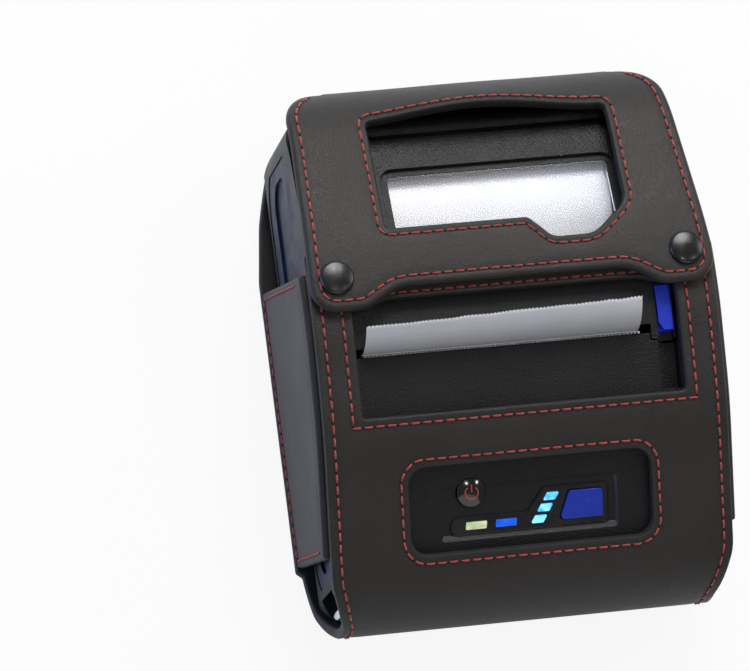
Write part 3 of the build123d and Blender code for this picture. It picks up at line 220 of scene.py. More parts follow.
def signed_area(loop):
    """Area of a closed outline, negative where it runs clockwise."""
    x, y = loop[:, 0], loop[:, 1]
    return (x * np.roll(y, -1) - np.roll(x, -1) * y).sum() / 2


def turning(loop):
    """1 where the outline runs anticlockwise, else -1."""
    return 1 if signed_area(loop) > 0 else -1


def inset(loop, t, step=0.4):
    """The line that runs t inside a closed outline."""
    return resample(offset_loop(loop, t, turning(loop)), step)


def mesh_piece(name, points, faces, smooth=True):
    """A mesh object from millimetre points and faces."""
    mesh = bpy.data.meshes.new(name)
    mesh.from_pydata([tuple(p) for p in np.asarray(points, float) * MM], [], faces)
    mesh.validate()
    mesh.update()
    mesh.polygons.foreach_set("use_smooth", [smooth] * len(mesh.polygons))
    piece = bpy.data.objects.new(name, mesh)
    bpy.context.scene.collection.objects.link(piece)
    return piece


def dress(piece, body, material, replaced=()):
    piece.data.materials.clear()
    piece.data.materials.append(material)
    if replaced:
        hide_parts(*replaced)
    if body:
        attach(piece, body)
    return piece


RIM = (0.0, 0.02, 0.1, 0.27, 0.55, 1.0)


def panel_points(loops, grid, lines):
    """Flat points of a leather panel: its outlines first, then rings inside them and a grid."""
    outline = [loop for loop, edge in loops]
    rings = []
    for k, (loop, edge) in enumerate(loops):
        side = turning(loop) * (1 if k == 0 else -1)
        for t in [r * edge for r in RIM[1:]] + [edge + 0.45]:
            rings.append(offset_loop(loop, t, side))
    for line in lines:
        for t in (-0.55, 0, 0.55):
            ahead = np.gradient(line, axis=0)
            ahead /= np.linalg.norm(ahead, axis=1, keepdims=True)
            rings.append(line + t * np.stack([-ahead[:, 1], ahead[:, 0]], 1))
    low, high = outline[0].min(0), outline[0].max(0)
    counts = [int((high[k] - low[k]) / grid[k]) for k in (0, 1)]
    gx, gy = np.meshgrid(*[np.linspace(low[k], high[k], counts[k]) for k in (0, 1)])
    free = np.stack([gx.ravel(), gy.ravel()], 1)
    clear = inside(free, outline[0])
    for k, (loop, edge) in enumerate(loops):
        clear &= distance_to(free, loop) > edge + 0.9
        if k:
            clear &= ~inside(free, loop)
    for line in lines:
        clear &= distance_to(free, line, closed=False) > 0.9
    ring_points = np.concatenate(rings)
    keep = inside(ring_points, outline[0])
    for k, (loop, edge) in enumerate(loops):
        keep &= distance_to(ring_points, loop) > edge * RIM[1] * 0.9
        if k:
            keep &= ~inside(ring_points, loop)
    return outline, np.concatenate([ring_points[keep], free[clear]])


def thin_out(points, gap=0.05):
    """Drops points that share a small cell with an earlier one."""
    cells = np.round(points / gap).astype(int)
    first = np.unique(cells, axis=0, return_index=True)[1]
    return points[np.sort(first)]


def panel(name, loops, lay, thickness=LEATHER, grid=(1.4, 1.2), lines=(), groove=0.16):
    """A leather panel. loops are (outline, edge rounding), the outer one first; lay(u, v, h)
    gives the point that lies h above the panel's middle; lines are seams, pressed in."""
    outline, free = panel_points(loops, grid, lines)
    rim = np.concatenate(outline)
    points = np.concatenate([rim, thin_out(free)])
    edges, start = [], 0
    for loop in outline:
        count = len(loop)
        edges += [(start + k, start + (k + 1) % count) for k in range(count)]
        start += count
    found = delaunay_2d_cdt([Vector(p) for p in points], edges, [], 0, 1e-5)
    flat = np.array([tuple(v) for v in found[0]])
    faces = np.array([f for f in found[2] if len(f) == 3])
    middle = flat[faces].mean(1)
    keep = inside(middle, outline[0])
    for loop in outline[1:]:
        keep &= ~inside(middle, loop)
    faces = faces[keep]
    a, b, c = (flat[faces[:, k]] for k in range(3))
    area = (b[:, 0] - a[:, 0]) * (c[:, 1] - a[:, 1]) - (b[:, 1] - a[:, 1]) * (c[:, 0] - a[:, 0])
    faces = faces[np.abs(area) > 1e-7]
    faces[area[np.abs(area) > 1e-7] < 0] = faces[area[np.abs(area) > 1e-7] < 0][:, ::-1]
    height = np.ones(len(flat))
    for loop, edge in loops:
        t = np.clip(distance_to(flat, loop) / edge, 0, 1)
        height = np.minimum(height, np.sqrt(np.clip(1 - (1 - t) ** 2, 0, 1)))
    on_rim = height < 0.05
    height[on_rim] = 0
    dip = np.zeros(len(flat))
    for line in lines:
        near = np.exp(-((distance_to(flat, line, closed=False) / 0.6) ** 2))
        dip = np.maximum(dip, near)
    top = lay(flat[:, 0], flat[:, 1], height * thickness / 2 - dip * groove)
    bottom = lay(flat[:, 0], flat[:, 1], -height * thickness / 2)
    under = np.where(on_rim, np.arange(len(flat)), 0)
    under[~on_rim] = len(flat) + np.arange((~on_rim).sum())
    all_points = np.concatenate([top, bottom[~on_rim]])
    piece = mesh_piece(name, all_points, faces.tolist() + under[faces][:, ::-1].tolist())
    cut = np.full(len(flat), 9.0)
    for loop, edge in loops[1:]:
        cut = np.minimum(cut, distance_to(flat, loop))
    values = piece.data.attributes.new("from_cut", "FLOAT", "POINT")
    values.data.foreach_set("value", np.concatenate([cut, cut[~on_rim]]))
    return piece


def seam_line(points, step=0.4):
    return resample(np.asarray(points, float), step, closed=False)


def stitch_marks(line, lay, closed=False):
    """Positions along a seam: middle, direction and normal of each stitch, in millimetres."""
    if closed:
        line = np.concatenate([line, line[:1]])
    gaps = np.concatenate([[0], np.cumsum(np.linalg.norm(np.diff(line, axis=0), axis=1))])
    count = max(int(round(gaps[-1] / STITCH)), 1)
    pitch = gaps[-1] / count
    marks = []
    for k in range(count):
        ends = []
        for share in (0.5 - THREAD_SHARE / 2, 0.5, 0.5 + THREAD_SHARE / 2):
            at = (k + share) * pitch
            ends.append([np.interp(at, gaps, line[:, j]) for j in (0, 1)])
        uv = np.array(ends)
        low = lay(uv[:, 0], uv[:, 1], np.zeros(3))
        high = lay(uv[:, 0], uv[:, 1], np.ones(3))
        hole = [np.interp(k * pitch, gaps, line[:, j]) for j in (0, 1)]
        hole = np.array([hole])
        hole_low = lay(hole[:, 0], hole[:, 1], np.zeros(1))[0]
        hole_high = lay(hole[:, 0], hole[:, 1], np.ones(1))[0]
        marks.append((low, high - low, hole_low, hole_high - hole_low))
    return marks


def tube(points, radii, normal, sides=6):
    """Ring points and faces of a closed tube through the points."""
    ring_points, faces = [], []
    for k, (p, r) in enumerate(zip(points, radii)):
        ahead = points[min(k + 1, len(points) - 1)] - points[max(k - 1, 0)]
        ahead = ahead / np.linalg.norm(ahead)
        side = np.cross(ahead, normal)
        side /= np.linalg.norm(side)
        up = np.cross(side, ahead)
        for j in range(sides):
            angle = 2 * pi * j / sides
            ring_points.append(p + r * (cos(angle) * side + sin(angle) * up))
    for k in range(len(points) - 1):
        for j in range(sides):
            n = (j + 1) % sides
            faces.append((k * sides + j, k * sides + n, (k + 1) * sides + n, (k + 1) * sides + j))
    faces.append(tuple(range(sides))[::-1])
    last = (len(points) - 1) * sides
    faces.append(tuple(range(last, last + sides)))
    return ring_points, faces


def stitches(name, seams, lay, surface):
    """Threads and needle holes of several seams on a panel's face, as two meshes."""
    thread_points, thread_faces, hole_points, hole_faces = [], [], [], []
    rng = np.random.default_rng(len(name) * 7 + len(seams))
    for line, closed in seams:
        for low, up, hole, hole_up in stitch_marks(line, lay, closed):
            base = low + up * (surface - 0.1)
            reach = base[2] - base[0]
            sway = np.cross(up[1], reach / np.linalg.norm(reach)) * rng.uniform(-0.05, 0.05)
            path = [
                base[0] - reach * 0.1 - up[0] * 0.25,
                base[0] + up[0] * 0.08,
                base[1] + up[1] * 0.2 + sway,
                base[2] + up[2] * 0.08,
                base[2] + reach * 0.1 - up[2] * 0.25,
            ]
            points, faces = tube(path, [0.13, THREAD - 0.03, THREAD, THREAD - 0.03, 0.13], up[1])
            start = len(thread_points)
            thread_points += points
            thread_faces += [tuple(start + i for i in f) for f in faces]
            # Each needle hole is a small dark tube lying on the face: painted shade of the hole.
            along = reach / np.linalg.norm(reach)
            spot = hole + hole_up * (surface - 0.13)
            half = STITCH * (1 - THREAD_SHARE) / 2
            path = [spot - along * half, spot, spot + along * half]
            points, faces = tube(path, [0.14, 0.27, 0.14], hole_up)
            start = len(hole_points)
            hole_points += points
            hole_faces += [tuple(start + i for i in f) for f in faces]
    threads = mesh_piece(name + "_thread", thread_points, thread_faces)
    holes = mesh_piece(name + "_holes", hole_points, hole_faces)
    return threads, holes


def sew(name, seams, lay, surface, body):
    threads, holes = stitches(name, seams, lay, surface)
    dress(threads, body, THREAD_RED)
    dress(holes, body, NEEDLE_HOLE_PAINTED_SHADE)
    return [threads, holes]


class Shader:
    """A material's node tree, with short calls to add nodes."""

    def __init__(self, name):
        self.material = bpy.data.materials.new(name)
        self.material.use_nodes = True
        self.tree = self.material.node_tree
        self.tree.nodes.clear()
        self.output = self.tree.nodes.new("ShaderNodeOutputMaterial")
        self.where = self.add("ShaderNodeTexCoord").outputs["Object"]

    def add(self, kind, inputs=None, **properties):
        node = self.tree.nodes.new(kind)
        for key, value in properties.items():
            setattr(node, key, value)
        for key, value in (inputs or {}).items():
            if isinstance(value, bpy.types.NodeSocket):
                self.tree.links.new(value, node.inputs[key])
            else:
                node.inputs[key].default_value = value
        return node

    def noise(self, size, detail=3.0, rough=0.5, stretch=None):
        """Noise whose features are about that many millimetres across."""
        where = self.where
        if stretch:
            where = self.add("ShaderNodeMapping", {"Vector": where, "Scale": stretch}).outputs[0]
        values = {"Vector": where, "Scale": 1 / (size * MM), "Detail": detail, "Roughness": rough}
        return self.add("ShaderNodeTexNoise", values).outputs[0]

    def cells(self, size, feature="F1", jitter=1.0):
        values = {"Vector": self.where, "Scale": 1 / (size * MM), "Randomness": jitter}
        return self.add("ShaderNodeTexVoronoi", values, feature=feature).outputs[0]

    def ramp(self, value, low, high, to_low=0.0, to_high=1.0):
        values = {0: value, 1: low, 2: high, 3: to_low, 4: to_high}
        return self.add("ShaderNodeMapRange", values).outputs[0]

    def math(self, operation, a, b):
        return self.add("ShaderNodeMath", {0: a, 1: b}, operation=operation).outputs[0]

    def colours(self, share, a, b):
        node = self.add("ShaderNodeMix", data_type="RGBA")
        for index, value in ((0, share), (6, a), (7, b)):
            if isinstance(value, bpy.types.NodeSocket):
                self.tree.links.new(value, node.inputs[index])
            else:
                colour = hasattr(value, "__len__")
                node.inputs[index].default_value = (*value, 1) if colour else value
        return node.outputs[2]

    def bump(self, height, depth, normal=None):
        """Bump of that depth in millimetres."""
        values = {"Height": height, "Distance": depth * MM, "Strength": 1.0}
        if normal:
            values["Normal"] = normal
        return self.add("ShaderNodeBump", values).outputs[0]

    def soft_edges(self, radius):
        """Normal that rounds sharp edges by that many millimetres."""
        return self.add("ShaderNodeBevel", {"Radius": radius * MM}, samples=6).outputs[0]

    def principled(self, **inputs):
        names = {key.replace("_", " "): value for key, value in inputs.items()}
        return self.add("ShaderNodeBsdfPrincipled", names)

    def finish(self, shader):
        self.tree.links.new(shader.outputs[0], self.output.inputs[0])
        return self.material


def leather():
    s = Shader("leather_black")
    grain = s.cells(0.5, "DISTANCE_TO_EDGE")
    pores = s.noise(0.25, 2.0)
    folds = s.noise(6.0, 4.0, 0.65)
    patch = s.noise(20.0, 3.0, 0.6)
    pebble = s.ramp(grain, 0.0, 0.18)
    colour = s.colours(s.ramp(patch, 0.3, 0.7), (0.0125, 0.0112, 0.0100), (0.0185, 0.0165, 0.0150))
    colour = s.colours(s.ramp(pebble, 0.0, 0.6, 0.4, 0.0), colour, (0.006, 0.0055, 0.005))
    from_cut = s.add("ShaderNodeAttribute", attribute_name="from_cut").outputs["Fac"]
    inked = s.ramp(s.math("ADD", from_cut, s.math("MULTIPLY", pores, 0.5)), 0.40, 0.70, 1.0, 0.0)
    colour = s.colours(inked, colour, (0.003, 0.003, 0.003))
    normal = s.bump(folds, 0.14)
    normal = s.bump(pebble, 0.03, normal)
    normal = s.bump(pores, 0.03, normal)
    rough = s.ramp(s.math("ADD", pores, patch), 0.6, 1.4, 0.40, 0.54)
    rough = s.math("ADD", rough, s.math("MULTIPLY", inked, 0.25))
    shader = s.principled(Roughness=rough, Normal=normal, Base_Color=colour)
    shader.inputs["Specular IOR Level"].default_value = 0.38
    shader.inputs["Specular Tint"].default_value = (1.0, 0.95, 0.88, 1)
    shader.inputs["Sheen Weight"].default_value = 0.05
    shader.inputs["Sheen Roughness"].default_value = 0.5
    shader.inputs["Sheen Tint"].default_value = (0.8, 0.8, 0.8, 1)
    return s.finish(shader)


def thread_red():
    s = Shader("thread_red")
    twist = s.add("ShaderNodeTexWave", {"Vector": s.where, "Scale": 900.0, "Distortion": 2.0})
    shade = s.noise(9.0)
    colour = s.colours(s.ramp(shade, 0.3, 0.7), (0.32, 0.020, 0.016), (0.48, 0.040, 0.030))
    shader = s.principled(Base_Color=colour, Roughness=0.6, Normal=s.bump(twist.outputs[1], 0.05))
    shader.inputs["Sheen Weight"].default_value = 0.3
    return s.finish(shader)


def plastic(
    name, dark, light, rough=0.5, grain=0.4, depth=0.03,
    coat=0.0, edge=0.0, shine=0.5, tint=(1, 1, 1),
):
    """Moulded plastic: a spark-eroded grain, slow variation in colour and gloss, soft edges."""
    s = Shader(name)
    fine = s.noise(grain, 2.0, 0.6)
    slow = s.noise(14.0, 3.0)
    colour = s.colours(s.ramp(slow, 0.3, 0.7), dark, light)
    gloss = s.ramp(s.math("ADD", fine, slow), 0.7, 1.3, rough - 0.08, rough + 0.08)
    normal = s.bump(fine, depth, s.soft_edges(edge) if edge else None)
    shader = s.principled(Base_Color=colour, Roughness=gloss, Normal=normal)
    shader.inputs["Specular IOR Level"].default_value = shine
    shader.inputs["Specular Tint"].default_value = (*tint, 1)
    shader.inputs["Coat Weight"].default_value = coat
    shader.inputs["Coat Roughness"].default_value = 0.08
    return s.finish(shader)


def metal(name, dark, light, rough=0.25, brushed=None, depth=0.01):
    """Metal with a drawn or cast surface."""
    s = Shader(name)
    fine = s.noise(0.5, 3.0, 0.6, brushed)
    slow = s.noise(8.0)
    colour = s.colours(s.ramp(slow, 0.3, 0.7), dark, light)
    gloss = s.ramp(fine, 0.3, 0.7, rough * 0.7, rough * 1.4)
    shader = s.principled(Base_Color=colour, Roughness=gloss, Normal=s.bump(fine, depth))
    shader.inputs["Metallic"].default_value = 1.0
    return s.finish(shader)


def paper():
    """Thermal paper: smooth, and thin enough that light from behind shows through. Its colour
    darkens towards the tongue's foot: painted shade.
    """
    s = Shader("paper_thermal")
    fibre = s.noise(0.5, 4.0, 0.7)
    slow = s.noise(11.0)
    streak = s.noise(1.2, 3.0, 0.6, (0.06, 1, 1))
    shade = s.ramp(s.math("ADD", slow, streak), 0.7, 1.3)
    colour = s.colours(shade, (0.70, 0.71, 0.72), (0.78, 0.78, 0.79))
    # Painted shade: the colour turns dark grey towards the tongue's foot.
    painted_foot_shade = s.add("ShaderNodeAttribute", attribute_name="painted_foot_shade").outputs["Fac"]
    colour = s.colours(s.math("MULTIPLY", painted_foot_shade, 0.85), colour, (0.22, 0.22, 0.22))
    rough = s.ramp(fibre, 0.3, 0.7, 0.5, 0.66)
    lit = s.principled(Base_Color=colour, Roughness=rough, Normal=s.bump(fibre, 0.02))
    lit.inputs["Specular IOR Level"].default_value = 0.12
    through = s.add("ShaderNodeBsdfTranslucent", {"Color": (0.8, 0.8, 0.82, 1)})
    mixed = s.add("ShaderNodeMixShader", {0: 0.3, 1: lit.outputs[0], 2: through.outputs[0]})
    return s.finish(mixed)


def lamp(name, edge, core, strength):
    """A lit lens: brighter in its middle than at its rim."""
    s = Shader(name)
    glow = s.noise(2.2, 2.0)
    facing = s.add("ShaderNodeLayerWeight", {"Blend": 0.3}).outputs["Facing"]
    share = s.ramp(s.math("SUBTRACT", glow, facing), 0.25, 0.7)
    colour = s.colours(share, edge, core)
    shader = s.principled(Base_Color=colour, Emission_Color=colour, Roughness=0.2)
    shader.inputs["Emission Strength"].default_value = strength
    shader.inputs["Coat Weight"].default_value = 0.5
    return s.finish(shader)


def clear_pane():
    s = Shader("clear_pane")
    wave = s.noise(6.0, 2.0)
    rough = s.ramp(wave, 0.3, 0.7, 0.02, 0.06)
    shader = s.principled(Roughness=rough, Normal=s.bump(wave, 0.004))
    shader.inputs["Base Color"].default_value = (0.82, 0.82, 0.84, 1)
    shader.inputs["Transmission Weight"].default_value = 1.0
    shader.inputs["IOR"].default_value = 1.12
    through = s.add("ShaderNodeBsdfTransparent")
    shadow = s.add("ShaderNodeLightPath").outputs["Is Shadow Ray"]
    mixed = s.add("ShaderNodeMixShader", {0: shadow, 1: shader.outputs[0], 2: through.outputs[0]})
    return s.finish(mixed)


def print_red():
    s = Shader("print_red")
    soft = s.noise(1.5)
    colour = s.colours(soft, (0.36, 0.045, 0.022), (0.50, 0.075, 0.035))
    return s.finish(s.principled(Base_Color=colour, Roughness=0.5, Normal=s.bump(soft, 0.01)))


def needle_hole_painted_shade():
    # Needle holes are drawn as dark marks on the leather: their darkness is painted shade of the
    # holes.
    s = Shader("needle_hole_painted_shade")
    soft = s.noise(0.6)
    colour = s.colours(soft, (0.004, 0.004, 0.004), (0.009, 0.008, 0.008))
    return s.finish(s.principled(Base_Color=colour, Roughness=0.9, Normal=s.bump(soft, 0.02)))


THREAD_RED = thread_red()
NEEDLE_HOLE_PAINTED_SHADE = needle_hole_painted_shade()
PRINT_RED = print_red()
# The tray walls are the shell's black plastic; their lighter grey is painted light.
TRAY_WALL_PAINTED_LIGHT = plastic("tray_wall_painted_light", (0.022,) * 3, (0.034,) * 3, 0.4, 0.5, 0.14, edge=0.2)
BLACK = (0.0060, 0.0060, 0.0063)
GREY_BLACK = (0.0105, 0.0105, 0.0110)
GLOSS = (0.004, 0.004, 0.005)
DULL, DULL_LIGHT = (0.012,) * 3, (0.02,) * 3
SLOTS = {
    "case_leather": leather(),
    "shell_black": plastic(
        "shell_grained", BLACK, GREY_BLACK, 0.38, 0.38, 0.20, edge=0.25, shine=0.24
    ),
    "lid_black": plastic("lid_grained", BLACK, GREY_BLACK, 0.38, 0.38, 0.18, edge=0.25, shine=0.3),
    # The trim's blue colour and blue specular tint are a painted blue reflection.
    "trim_grey": plastic(
        "trim_satin_painted_blue_sheen", (0.008, 0.011, 0.020), (0.012, 0.016, 0.030), 0.42, 3.0, 0.01,
        edge=0.4, shine=0.22, tint=(0.40, 0.60, 1.0)
    ),
    "panel_gloss": plastic(
        "inlay_gloss", GLOSS, (0.007, 0.007, 0.008), 0.16, 2.0, 0.004, coat=0.4, edge=0.2
    ),
    "power_gloss": plastic(
        "button_gloss", GLOSS, (0.008, 0.007, 0.007), 0.14, 2.0, 0.004, coat=0.6, edge=0.3
    ),
    "feed_key": plastic(
        "feed_blue", (0.002, 0.02, 0.30), (0.004, 0.03, 0.40), 0.2, 1.5, 0.006, coat=0.5, edge=0.35
    ),
    "lever_blue": plastic(
        "lever_grained", (0.001, 0.022, 0.50), (0.002, 0.04, 0.75), 0.42, 0.4, 0.08, edge=0.2
    ),
    "clear_pane": clear_pane(),
    "lamp_white": lamp("lamp_green", (0.22, 0.32, 0.08), (0.62, 0.66, 0.42), 0.55),
    "lamp_blue": lamp("lamp_dim_blue", (0.002, 0.05, 0.50), (0.01, 0.14, 0.80), 0.6),
    "lamp_cyan": lamp("lamp_bright", (0.0, 0.25, 1.0), (0.30, 0.90, 1.0), 0.95),
    "paper_white": paper(),
    "core_card": plastic("card_core", (0.20, 0.13, 0.07), (0.27, 0.18, 0.10), 0.8, 0.8, 0.06),
    "platen_rubber": plastic("platen_rubber", DULL, DULL_LIGHT, 0.7, 0.3, 0.02),
    "shaft_steel": metal("ground_steel", (0.42, 0.42, 0.43), (0.56, 0.56, 0.57), 0.2, (1, 12, 12)),
    "sheet_steel": metal("plated_sheet", (0.45, 0.45, 0.44), (0.58, 0.58, 0.57), 0.32),
    "gear_plastic": plastic(
        "acetal_white", (0.55, 0.55, 0.52), (0.63, 0.63, 0.60), 0.35, 1.2, 0.01
    ),
    "bush_plastic": plastic("bush_black", DULL, DULL_LIGHT, 0.4, 0.8, 0.01),
    "sink_alloy": metal("cast_alloy", (0.42, 0.43, 0.45), (0.52, 0.53, 0.55), 0.45, None, 0.03),
    "head_ceramic": plastic("head_ceramic", (0.45, 0.44, 0.42), (0.55, 0.54, 0.52), 0.3, 0.6, 0.01),
    "board_green": plastic(
        "board_green", (0.01, 0.10, 0.035), (0.015, 0.14, 0.05), 0.35, 0.8, 0.01
    ),
    "chip_black": plastic("chip_epoxy", BLACK, (0.02, 0.02, 0.02), 0.55, 0.3, 0.02),
    "switch_metal": metal("switch_can", (0.5, 0.5, 0.5), (0.6, 0.6, 0.6), 0.3),
    "trough_black": plastic("trough_black", BLACK, (0.02, 0.02, 0.022), 0.5, 0.6, 0.03),
    "battery_case": plastic(
        "battery_case", (0.018, 0.018, 0.02), (0.03, 0.03, 0.034), 0.45, 0.6, 0.03
    ),
    "loop_chrome": metal("loop_chrome", (0.75, 0.76, 0.78), (0.85, 0.86, 0.88), 0.08, None, 0.002),
    "snap_black": plastic("snap_enamel", (0.005,) * 3, (0.008,) * 3, 0.27, 1.2, 0.006),
    "snap_steel": metal("snap_steel", (0.35, 0.33, 0.30), (0.45, 0.43, 0.40), 0.3),
}


def dress_cad_nodes():
    """Every CAD node that stays takes the material of its slot."""
    for part in frame["record"]["subparts"]:
        node = frame["nodes"][part["node"]]
        slot = part["material_slot"]
        look = "power_gloss" if part["node"] == "power_button" else slot
        node.data.materials.clear()
        node.data.materials.append(SLOTS.get(look, SLOTS["shell_black"]))


BAR_END_Y = 18.5
MOUTH = (-34.1, 33.9, -15.8)
PANEL_WINDOW = (25.4, -43.0, -26.3)
FLAP_WINDOW = (-24.9, 25.8, 22.4, 46.6)
FOLD_Y = 55.9
SNAP_X, SNAP_Y = 36.8, 12.6

# Y of the gussets' leaning edges, at the machine's back and GUSSET_HIGH over it
GUSSET_FAR, GUSSET_NEAR, GUSSET_HIGH = (22.4, 15.0), (-37.7, -43.8), 44.0


def lay_layer(inner, thickness=LEATHER, shape=None):
    """How a layer's panel lies round the machine; shape may move its points."""

    def lay(x, s, h):
        d = inner + thickness / 2 + h
        if shape:
            x, s, d, move = shape(x, s, d)
            return place(x, s, d) + move
        return place(x, s, d)

    return lay


def to_s(points, d):
    """Plan points (X, Y) of the front as (X, S)."""
    points = np.asarray(points, float)
    return np.stack([points[:, 0], front_s(points[:, 1], d)], 1)


def runs(loop, keep):
    """The stretches of a closed line of points that keep holds for."""
    start = int(np.argmax(~keep))
    loop, keep = np.roll(loop, -start, 0), np.roll(keep, -start)
    cuts = np.flatnonzero(np.diff(keep.astype(int))) + 1
    parts = [p for p, k in zip(np.split(loop, cuts), np.split(keep, cuts)) if k[0]]
    return [p for p in parts if len(p) > 6]


def wrap_outline(low, high, d):
    """The wrap laid flat: a strap, two wings beside the machine, the near end and two bars."""
    left, right, near = MOUTH
    side = [
        (STRAP_HALF, low, 0),
        (STRAP_HALF, -53.0, 5),
        (39.6, -49.0, 5),
        (42.4, -36.5, 25),
        (43.9, -WING_FAR_Y - 2.0, 12),
        (BACK_HALF, -WING_NEAR_Y, 0.8),
        (42.7, 0.9 - WING_NEAR_Y, 0.6),
        (41.9, 48.0, 10),
        (39.6, 57.0, 10),
        (39.6, 66.0, 12),
        (CASE_HALF, 77.0, 12),
        (CASE_HALF, high, 0.6),
    ]
    mouth = [(right, high, 0.6), (right, front_s(near, d), 0.8)]
    mouth += [(left, front_s(near, d), 0.8), (left, high, 0.6)]
    rows = side + mouth + [(-x, s, radius) for x, s, radius in reversed(side)]
    return rounded([row[:2] for row in rows], [row[2] for row in rows], 0.6)


def case_wrap():
    d = WRAP_D + LEATHER / 2
    low, high = far_s(13.0) - AROUND, front_s(BAR_END_Y, d)
    outer = wrap_outline(low, high, d)
    left, right, near = MOUTH
    half, low_y, high_y = PANEL_WINDOW
    corners = [(-half, low_y), (half, low_y), (half, high_y), (-half, high_y)]
    hole = to_s(rounded(corners, 3.4, 0.5), d)
    lay = lay_layer(WRAP_D)
    # The seam runs along the long edges only, up to where the flap covers it
    row = inset(outer, SEAM_IN)
    edge = outer[(np.abs(outer[:, 0]) > 34.6) | (outer[:, 1] < 64)]
    beside = distance_to(row, edge, closed=False) < 2.3
    beside &= (row[:, 1] > low + 3) & (row[:, 1] < front_s(11.0, d))
    seams = [(part, False) for part in runs(row, beside)]
    bar_x = (left - 2.2, right + 2.2)
    row_y = near - WINDOW_SEAM_OUT
    mouth_row = [(bar_x[0], 10.0), (bar_x[0], row_y), (bar_x[1], row_y), (bar_x[1], 10.0)]
    seams.append((seam_line(to_s(resample(np.array(mouth_row, float), 0.5, False), d)), False))
    wide = half + WINDOW_SEAM_OUT
    low_row, high_row = low_y - WINDOW_SEAM_OUT, high_y + WINDOW_SEAM_OUT
    grown = [(-wide, low_row), (wide, low_row), (wide, high_row), (-wide, high_row)]
    seams.append((to_s(rounded(grown, 4.9, 0.4), d), True))
    lines = [np.concatenate([line, line[:1]]) if closed else line for line, closed in seams]
    wrap = panel("case_wrap_leather", [(outer, 0.35), (hole, 0.35)], lay, lines=lines)
    dress(wrap, "machine", SLOTS["case_leather"], ["case_wrap"])
    threads = sew("wrap_seams", seams, lay, LEATHER / 2, "machine")


def flap_wave(x, s, d):
    """Lifts the strip over the window, whose cut edge stands up in one wave."""
    middle_x, half_width = -1.5, 25.5
    edge, fold = front_s(FLAP_WINDOW[3], 4.0), front_s(FOLD_Y + 0.4, 4.0)
    share = np.clip((fold - s) / (fold - edge), 0, 1) ** 1.15
    below = s < edge - 0.8
    across = np.cos(np.clip((x - middle_x) / half_width, -1, 1) * pi / 2) ** 1.6
    lift = np.where(below, 0, share * across)
    move = np.stack([0 * lift, 1.9 * lift, 2.2 * lift], -1)
    return x, s, d, move


def flap_outline():
    """The flap's plan from its near edge to the fold. The leather narrows to the far end, more
    so at the right."""
    half, lobe_in = CASE_HALF, SNAP_X - 5.6
    lobe = [(lobe_in - 7.0, 9.6), (lobe_in, 5.6), (half, 5.6), (half, 13)]
    strap = [(STRAP_HALF, FOLD_Y), (STRAP_HALF, 57.6)]
    right = [(0, 9.6), *lobe, (half - 3.6, FOLD_Y), *strap]
    far_left = [(half - 1.8, FOLD_Y), *strap]
    left = [(-x, y) for x, y in reversed(lobe + far_left)]
    radii = [0, 9.0, 6.0, 5.4, 25, 8.0, 0, 0]
    return rounded(right + left, radii + list(reversed(radii[1:])), 0.5)


def case_flap():
    d = FLAP_D + LEATHER / 2
    plan = flap_outline()
    end = far_s(7.0)
    front = plan[plan[:, 1] <= FOLD_Y]
    cut = np.argmax(np.linalg.norm(np.diff(front, axis=0), axis=1))
    front = np.roll(front, -(cut + 1), 0)
    outer = to_s(front, d)
    tail = [(outer[-1][0], end), (outer[0][0], end)]
    outer = resample(np.concatenate([outer, tail]), 0.6)
    left, right, near, far = FLAP_WINDOW
    corners = [(left, near), (5.0, near), (9.6, 17.6), (18.3, 17.6), (right, 24.1)]
    corners += [(right, far), (left, far)]
    hole = to_s(rounded(corners, [0.8, 2, 3, 6, 5, 1, 1], 0.45), d)
    lay = lay_layer(FLAP_D, shape=flap_wave)
    row = inset(outer, SEAM_IN)
    # No seam where the leather turns down over the far end
    off = np.abs(row[:, 0])
    fold = np.where(off < 32.5, front_s(52.8, d), front_s(54.6, d))
    beyond = (off > 26) & (row[:, 1] > fold) & (row[:, 1] < far_s(19.0))
    window_row = resample(offset_loop(hole, 1.6, -turning(hole)), 0.4)
    seams = [(part, False) for part in runs(row, ~beyond)] + [(window_row, True)]
    lines = [np.concatenate([line, line[:1]]) if closed else line for line, closed in seams]
    flap = panel("case_flap_leather", [(outer, 1.1), (hole, 0.45)], lay, lines=lines)
    dress(flap, None, SLOTS["case_leather"], ["case_flap", "flap_tail"])
    threads, holes = stitches("flap_seams", seams, lay, LEATHER / 2)
    dress(threads, None, THREAD_RED)
    dress(holes, None, NEEDLE_HOLE_PAINTED_SHADE)
    for piece in (flap, threads, holes):
        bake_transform(piece)


def flap_band():
    d = BAND_D + LEATHER / 2
    left, right = MOUTH[0] + 0.4, MOUTH[1] - 0.4
    points = [(left, 15.5), (left, 5.9), (-26.5, 7.6), (26.5, 7.6), (right, 5.9), (right, 15.5)]
    outer = to_s(rounded(points, [1, 1, 9, 9, 1, 1], 0.5), d)
    lay = lay_layer(BAND_D)
    row = [(left + 1.4, 14), (left + 1.4, 7.4), (-26.5, 8.9)]
    row += [(26.5, 8.9), (right - 1.4, 7.4), (right - 1.4, 14)]
    seam = to_s(resample(np.array(row, float), 0.5, False), d)
    band = panel("flap_band_leather", [(outer, 0.6)], lay, lines=[seam])
    dress(band, "flap", SLOTS["case_leather"], ["flap_band"])
    threads = sew("band_seam", [(seam, False)], lay, LEATHER / 2, "flap")


